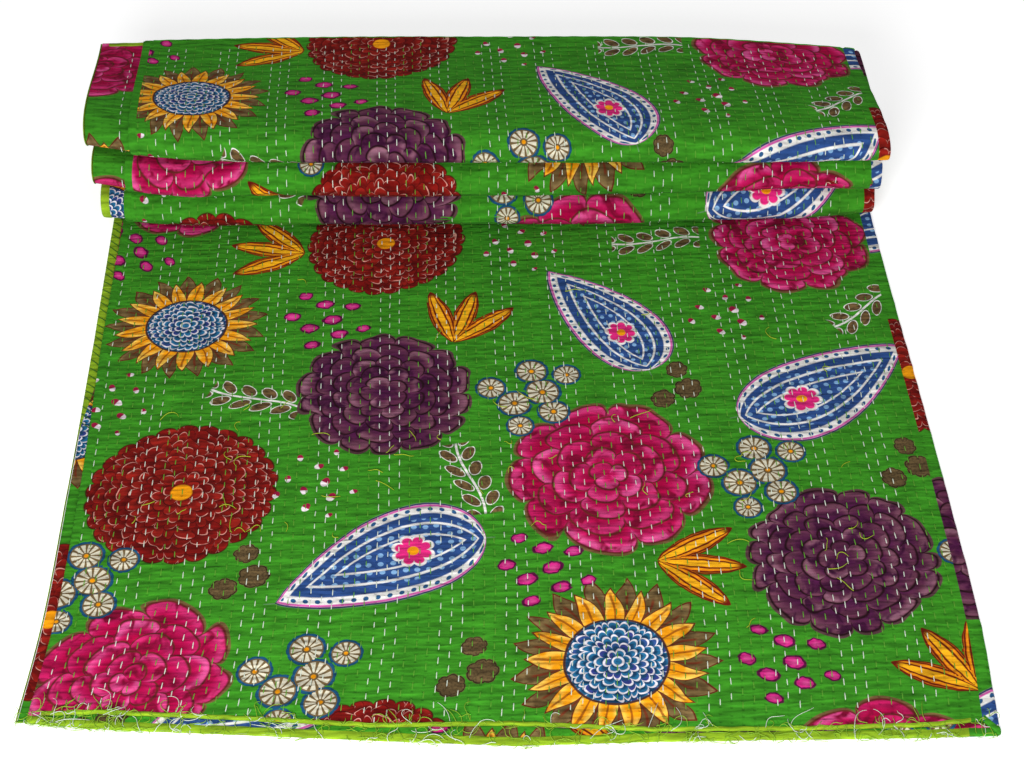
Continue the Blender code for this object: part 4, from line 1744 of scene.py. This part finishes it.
def threads(name: str, lines: Numbers, radius: float, material: bpy.types.Material) -> bpy.types.Object:
    """Thin threads as tubes of triangular section, a little thinner towards their far ends.

    Args:
        name: The piece's name.
        lines: The middle line of each thread, as thread, step and x, y, z, in the record's frame.
        radius: Half the thread's thickness.
        material: Its finish.

    Returns:
        The finished object.
    """
    count, steps, _ = lines.shape
    run = np.gradient(lines[..., :2], axis=1)
    run /= np.maximum(np.linalg.norm(run, axis=2, keepdims=True), 1e-9)
    side = np.stack([-run[..., 1], run[..., 0], 0.0 * run[..., 0]], 2)
    angle = np.radians([90.0, 210.0, 330.0])
    ring = side[:, :, None] * np.cos(angle)[:, None] + np.array([0.0, 0.0, 1.0]) * np.sin(angle)[:, None]
    thin = radius * (1.0 - 0.4 * np.linspace(0.0, 1.0, steps) ** 4)
    points = lines[:, :, None] + ring * thin[:, None, None]
    faces = (np.arange(count)[:, None, None] * steps * 3 + grid_faces(steps, 3, closed=True)).reshape(-1, 4)
    item = mesh_object(name, points.reshape(-1, 3), faces)
    item.data.materials.append(material)
    return item


@dataclass
class LooseThreads:
    """Loose thread ends that lie on the level part of the quilt and in front of it.

    Args:
        name: The piece's name.
        roots: Where each one starts, as x and y in the sizes' own frame.
        heading: Which way each one sets out, in radians round from +X.
        lengths: How long each one is.
        seed: What their bends start from.
        relief: The quilting's relief.
        rise: How high the highest one arches.
        radius: Half their thickness.
    """

    name: str
    roots: Numbers
    heading: Numbers
    lengths: Numbers
    seed: int
    relief: Relief
    rise: float = 4.0 * MM
    radius: float = 0.50 * MM

    def build(self, material: bpy.types.Material) -> bpy.types.Object:
        """Make the threads.

        A thread's heading turns steadily along it, with a slow wave on top. It arches off what it
        lies on by half a wave.
        """
        random = np.random.default_rng(self.seed)
        count, steps = len(self.roots), 14
        part = np.linspace(0.0, 1.0, steps)
        curl = random.uniform(-2.6, 2.6, (count, 1))
        wave = random.uniform(-0.9, 0.9, (count, 1)) * np.sin(part * random.uniform(3.0, 8.0, (count, 1)))
        heading = self.heading[:, None] + curl * part**1.3 + wave
        step = (self.lengths / (steps - 1))[:, None]
        x = self.roots[:, :1] + np.cumsum(np.cos(heading) * step, 1)
        y = self.roots[:, 1:] + np.cumsum(np.sin(heading) * step, 1)
        hem = np.interp(FOLD_SIDE[0] - x, ACROSS, FRONT_HEM_LOWER) - 1.0 * MM
        y = np.where(y < hem, hem - 4 * MM * np.tanh((hem - y) / (12 * MM)), y)
        arch = random.uniform(0.05, 1.0, (count, 1)) * self.rise * np.sin(np.pi * part)
        lines = np.stack([x, y, self.ground(x, y) + self.radius + arch], 2) - ORIGIN
        item = threads(self.name, lines, self.radius, material)
        dress(item, "lime_binding")
        return item

    def ground(self, x: Numbers, y: Numbers) -> Numbers:
        """Level of what lies under a place: the upper ply, then the lower ply, then the floor."""
        distance = np.clip(FOLD_SIDE[0] - x, FOLD_RADIUS, 1.12)
        upper = FLOOR_LINE + FOLD_RADIUS + self.relief.over_ply(Ply.UPPER, distance, y, 0.0 * y)
        lower = FLOOR_LINE - FOLD_RADIUS + PLY / 2 + 0.9 * MM
        upper_front = np.interp(distance, ACROSS, FRONT_HEM_UPPER)
        lower_front = np.interp(distance, ACROSS, FRONT_HEM_LOWER)
        on_upper = ease(-1.5 * MM, 1.0 * MM, y - upper_front)
        on_lower = ease(-2.5 * MM, 0.5 * MM, y - lower_front)
        return on_upper * (upper + 0.5 * MM) + (1.0 - on_upper) * on_lower * lower


@dataclass
class PuckerShadowStrokes:
    """Dark slanted strokes of thread over the lower ply's lime side binding: painted shadow, standing for the
    shadows that the quilting's puckers cast on the strip.

    Args:
        name: The piece's name.
        start: Where along the cloth the first one lies.
        end: Where the last one lies.
        pitch: From one to the next.
    """

    name: str
    start: float
    end: float
    pitch: float

    RADIUS = 0.75 * MM

    def build(self, material: bpy.types.Material) -> bpy.types.Object:
        """Make the strokes: each crosses the strip on a slant, in a low arch, a dark line of painted shadow.
        """
        random = np.random.default_rng(SEED + 70)
        travel = np.arange(self.start, self.end, self.pitch)
        travel = travel + random.normal(0.0, 0.8 * MM, len(travel))
        part = np.linspace(0.0, 1.0, 6)
        inset = (SHOWN_LOWER_WIDTH + 1.0 * MM) * (1.0 - part) + 0.3 * MM * part
        along = travel[:, None] + (random.uniform(11.0, 16.0, (len(travel), 1)) * MM) * part
        lift = -(PLY / 2 + 0.9 * MM + 0.5 * MM * np.sin(np.pi * part)) + 0.0 * along
        x, level = round_fold(lower_place(lower_edge(along) - inset), lift)
        x = smooth_table(ALONG, FOLD_SIDE, along) + x
        item = threads(self.name, np.stack([x, along, FLOOR_LINE + level], 2) - ORIGIN, self.RADIUS, material)
        dress(item, "lime_binding")
        return item


# ---------------------------------------------------------------------------------------------
# The studio.


@dataclass
class Studio:
    """The floor, the lights and the camera.

    Args:
        eye: Where the camera is, in the sizes' own frame.
        pitch: How far it looks down, in degrees.
        heading: How far it is turned clockwise of +Y, in degrees.
        lens: Its focal length in mm, on a 36 mm sensor.
    """

    eye: tuple[float, float, float] = (-0.0505, -1.29, 1.822)
    pitch: float = 44.3
    heading: float = 2.05
    lens: float = 66.8

    def build(self) -> None:
        """Set up the floor, the lights, the world and the camera."""
        self._floor()
        self._lamp("key_light", (-0.5, -2.2, 1.3), (0.0, 0.1, 0.0), 0.8, 60.0)
        self._lamp("fill_light", (1.8, -1.6, 1.7), (0.0, 0.1, 0.05), 1.6, 12.0)
        self._lamp("top_light", (-0.6, 0.4, 3.0), (0.0, 0.2, 0.1), 2.0, 5.0)
        world = bpy.data.worlds.new("soft_room")
        world.use_nodes = True
        background = world.node_tree.nodes["Background"]
        background.inputs["Color"].default_value = (1.0, 1.0, 1.0, 1.0)
        background.inputs["Strength"].default_value = 0.34
        scene = bpy.context.scene
        scene.world = world
        scene.view_settings.view_transform = "Standard"
        camera = bpy.data.objects.new("camera", bpy.data.cameras.new("camera"))
        camera.data.lens = self.lens
        camera.data.sensor_width = 36.0
        camera.data.clip_end = 50.0
        camera.location = np.array(self.eye) - ORIGIN
        camera.rotation_euler = (math.radians(90.0 - self.pitch), 0.0, math.radians(-self.heading))
        scene.collection.objects.link(camera)
        scene.camera = camera

    def _floor(self) -> None:
        edge = np.linspace(-6.0, 6.0, 3)
        x, y = np.meshgrid(edge, edge + 1.0)
        points = np.stack([x, y, np.full_like(x, -0.3 * MM)], 2).reshape(-1, 3)
        floor = mesh_object("studio_floor", points, grid_faces(3, 3))
        material = bpy.data.materials.new("pale_floor")
        material.use_nodes = True
        shader = material.node_tree.nodes["Principled BSDF"]
        shader.inputs["Base Color"].default_value = (0.90, 0.90, 0.90, 1.0)
        shader.inputs["Emission Color"].default_value = (1.0, 1.0, 1.0, 1.0)
        shader.inputs["Emission Strength"].default_value = 0.5
        shader.inputs["Roughness"].default_value = 0.9
        shader.inputs["Specular IOR Level"].default_value = 0.1
        floor.data.materials.append(material)

    def _lamp(
        self, name: str, place: tuple[float, ...], aim: tuple[float, ...], size: float, power: float
    ) -> None:
        lamp = bpy.data.lights.new(name, "AREA")
        lamp.size = size
        lamp.energy = power
        item = bpy.data.objects.new(name, lamp)
        item.location = place
        run, side, rise = (b - a for a, b in zip(place, aim))
        tilt = math.acos(-rise / math.hypot(run, side, rise))
        item.rotation_euler = (tilt, 0.0, math.atan2(side, run) - math.pi / 2)
        bpy.context.scene.collection.objects.link(item)


# ---------------------------------------------------------------------------------------------
# The quilt.


class Quilt:
    """The whole quilt: two printed panels, their bindings and their threads."""

    def __init__(self) -> None:
        self.relief = Relief()
        self.dyehouse = Dyehouse()
        self.white_thread = self.dyehouse.thread("white_thread", rgb(214, 224, 208))
        self.tail_thread = self.dyehouse.thread("yellow_green_thread", rgb(170, 190, 44))
        self.lime_ends = self.dyehouse.thread("lime_thread_end", rgb(142, 186, 48))
        # Dark green thread for the slanted strokes that paint the puckers' shadows on the lower binding.
        self.shadow_stroke_thread = self.dyehouse.thread("dark_green_shadow_thread", rgb(52, 104, 30))
        self.lime_thread = self.dyehouse.thread("lime_thread", rgb(92, 156, 44))

    def panels(self) -> list[bpy.types.Object]:
        """The two panels' faces."""
        seam = float(upper_place(SEAM_FROM_FOLD))
        whole = np.linspace(0.0, 1.0, 330)
        coarse = np.concatenate([np.linspace(0.0, 0.9, 46)[:-1], np.linspace(0.9, 1.0, 12)])
        far = float(lower_place(1.128)) - seam
        turn = (np.linspace(0.0, math.pi * FOLD_RADIUS, 9) - seam) / far
        wrap = np.concatenate(
            [
                np.linspace(0.0, turn[0], 6)[:-1], turn, np.linspace(turn[-1], 0.92, 52)[1:-1],
                np.linspace(0.92, 1.0, 28),
            ]
        )
        main = ("quilt_panel_main", "main_print", Ply.UPPER)
        second = ("quilt_panel_second", "second_print", Ply.LOWER)
        faces = (
            ("main_panel_front", *main, Side.OUTER, FRONT_ROWS, whole, seam, FRONT_PRINT),
            ("main_panel_pleats", *main, Side.OUTER, PLEAT_ROWS, whole, seam, FRONT_PRINT),
            ("main_panel_lining", *main, Side.INNER, COARSE_ROWS, coarse, seam, LINING_PRINT),
            ("second_panel_outer", *second, Side.OUTER, COARSE_ROWS, wrap, seam, SECOND_PRINT),
            ("second_panel_inner", *second, Side.INNER, COARSE_ROWS, wrap, seam, INNER_PRINT),
        )
        return [ClothFace(*face, self.relief).build(self.dyehouse) for face in faces]

    def bindings(self) -> list[bpy.types.Object]:
        """The strips that bind the panels' edges."""
        seam = float(upper_place(SEAM_FROM_FOLD))
        printed = ("side_binding_upper", "leaf_green_binding", Ply.UPPER, SIDE_UPPER_WIDTH)
        plain = ("side_binding_lower", "lime_binding", Ply.LOWER, SHOWN_LOWER_WIDTH)
        strips = [
            SideBinding(*printed, self.relief, FRONT_PRINT).build(self.dyehouse),
            SideBinding(*plain, self.relief, None, 0.12).build(self.dyehouse),
        ]
        widths = ((True, FRONT_UPPER_WIDTH, FRONT_LOWER_WIDTH), (False, BACK_WIDTH, BACK_WIDTH))
        for front, upper, lower in widths:
            travel = np.array(0.0 if front else LINE.travel[-1])
            side = float(upper_place(upper_edge(travel) - SIDE_UPPER_WIDTH))
            far = float(lower_place(lower_edge(travel) - SIDE_LOWER_WIDTH))
            over = np.linspace(side, seam, 240)
            fold_end = math.pi * FOLD_RADIUS
            under = np.concatenate([
                np.linspace(seam, 0.0, 6)[:-1],
                np.linspace(0.0, fold_end, 9),
                np.linspace(fold_end, far, 240)[1:],
            ])
            strips.append(HemBinding(Ply.UPPER, over, upper, front).build(self.dyehouse))
            strips.append(HemBinding(Ply.LOWER, under, lower, front).build(self.dyehouse))
        return strips

    def threads(self) -> list[bpy.types.Object]:
        """The running stitches, the dark slanted strokes of painted shadow on the lower binding, and the
        loose thread ends.
        """
        made = [
            RunningStitches("white_stitches", (5, 0, 1), self.relief).build(self.white_thread),
            RunningStitches("lime_stitches", (2, 3, 4), self.relief).build(self.lime_thread),
            # Dark slanted strokes on the lime binding: painted shadow of the puckers.
            PuckerShadowStrokes("pucker_shadow_strokes", 0.50, 0.99, 15 * MM).build(self.shadow_stroke_thread),
        ]
        hem = (
            ("lime_thread_ends", 340, 0.027, self.lime_ends, 1),
            ("white_thread_ends", 100, 0.036, self.white_thread, 2),
        )
        for name, count, length, material, seed in hem:
            random = np.random.default_rng(SEED + 80 + seed)
            x = random.uniform(-0.572, 0.555, count)
            near_left = random.uniform(0.0, 1.0, count) < 0.12
            x = np.where(near_left, random.uniform(-0.572, -0.44, count), x)
            distance = FOLD_SIDE[0] - x
            upper = np.interp(distance, ACROSS, FRONT_HEM_UPPER)
            lower = np.interp(distance, ACROSS, FRONT_HEM_LOWER)
            y = np.where(random.uniform(0.0, 1.0, count) < 0.6, upper, lower)
            y = y + random.uniform(-2.0, 5.0, count) * MM
            heading = random.uniform(-math.pi, 0.0, count)
            heading = heading * np.where(random.uniform(0.0, 1.0, count) < 0.3, -1.0, 1.0)
            lengths = length * random.uniform(0.35, 1.15, count)
            roots = np.stack([x, y], 1)
            ends = LooseThreads(name, roots, heading, lengths, SEED + 90 + seed, self.relief)
            made.append(ends.build(material))
        random = np.random.default_rng(SEED + 85)
        thick = (
            (0.30, 0.36, 0.16, 0.14), (-0.08, 0.40, 0.16, 0.12),
            (-0.40, 0.42, 0.12, 0.12), (0.0, 0.45, 0.52, 0.38),
        )
        roots = np.concatenate([
            np.array((x, y)) + random.uniform(-1.0, 1.0, (14, 2)) * (wide, tall) for x, y, wide, tall in thick
        ])
        heading = random.uniform(-math.pi, math.pi, len(roots))
        lengths = random.uniform(0.012, 0.034, len(roots))
        tails = LooseThreads(
            "face_thread_tails", roots, heading, lengths, SEED + 95, self.relief, 1.8 * MM, 0.62 * MM
        )
        made.append(tails.build(self.tail_thread))
        return made


def write_sizes() -> None:
    """Updates the view layer."""
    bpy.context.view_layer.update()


def main() -> None:
    """Builds the studio and the quilt, and reports each piece."""
    logging.basicConfig(level=logging.INFO, format="%(message)s")
    Studio().build()
    quilt = Quilt()
    panels, bindings, threads = quilt.panels(), quilt.bindings(), quilt.threads()
    for item in (*panels, *bindings, *threads):
        LOG.info("%s: %d faces, %d materials", item.name, len(item.data.polygons), len(item.data.materials))
    write_sizes()


if __name__ == "__main__":
    main()
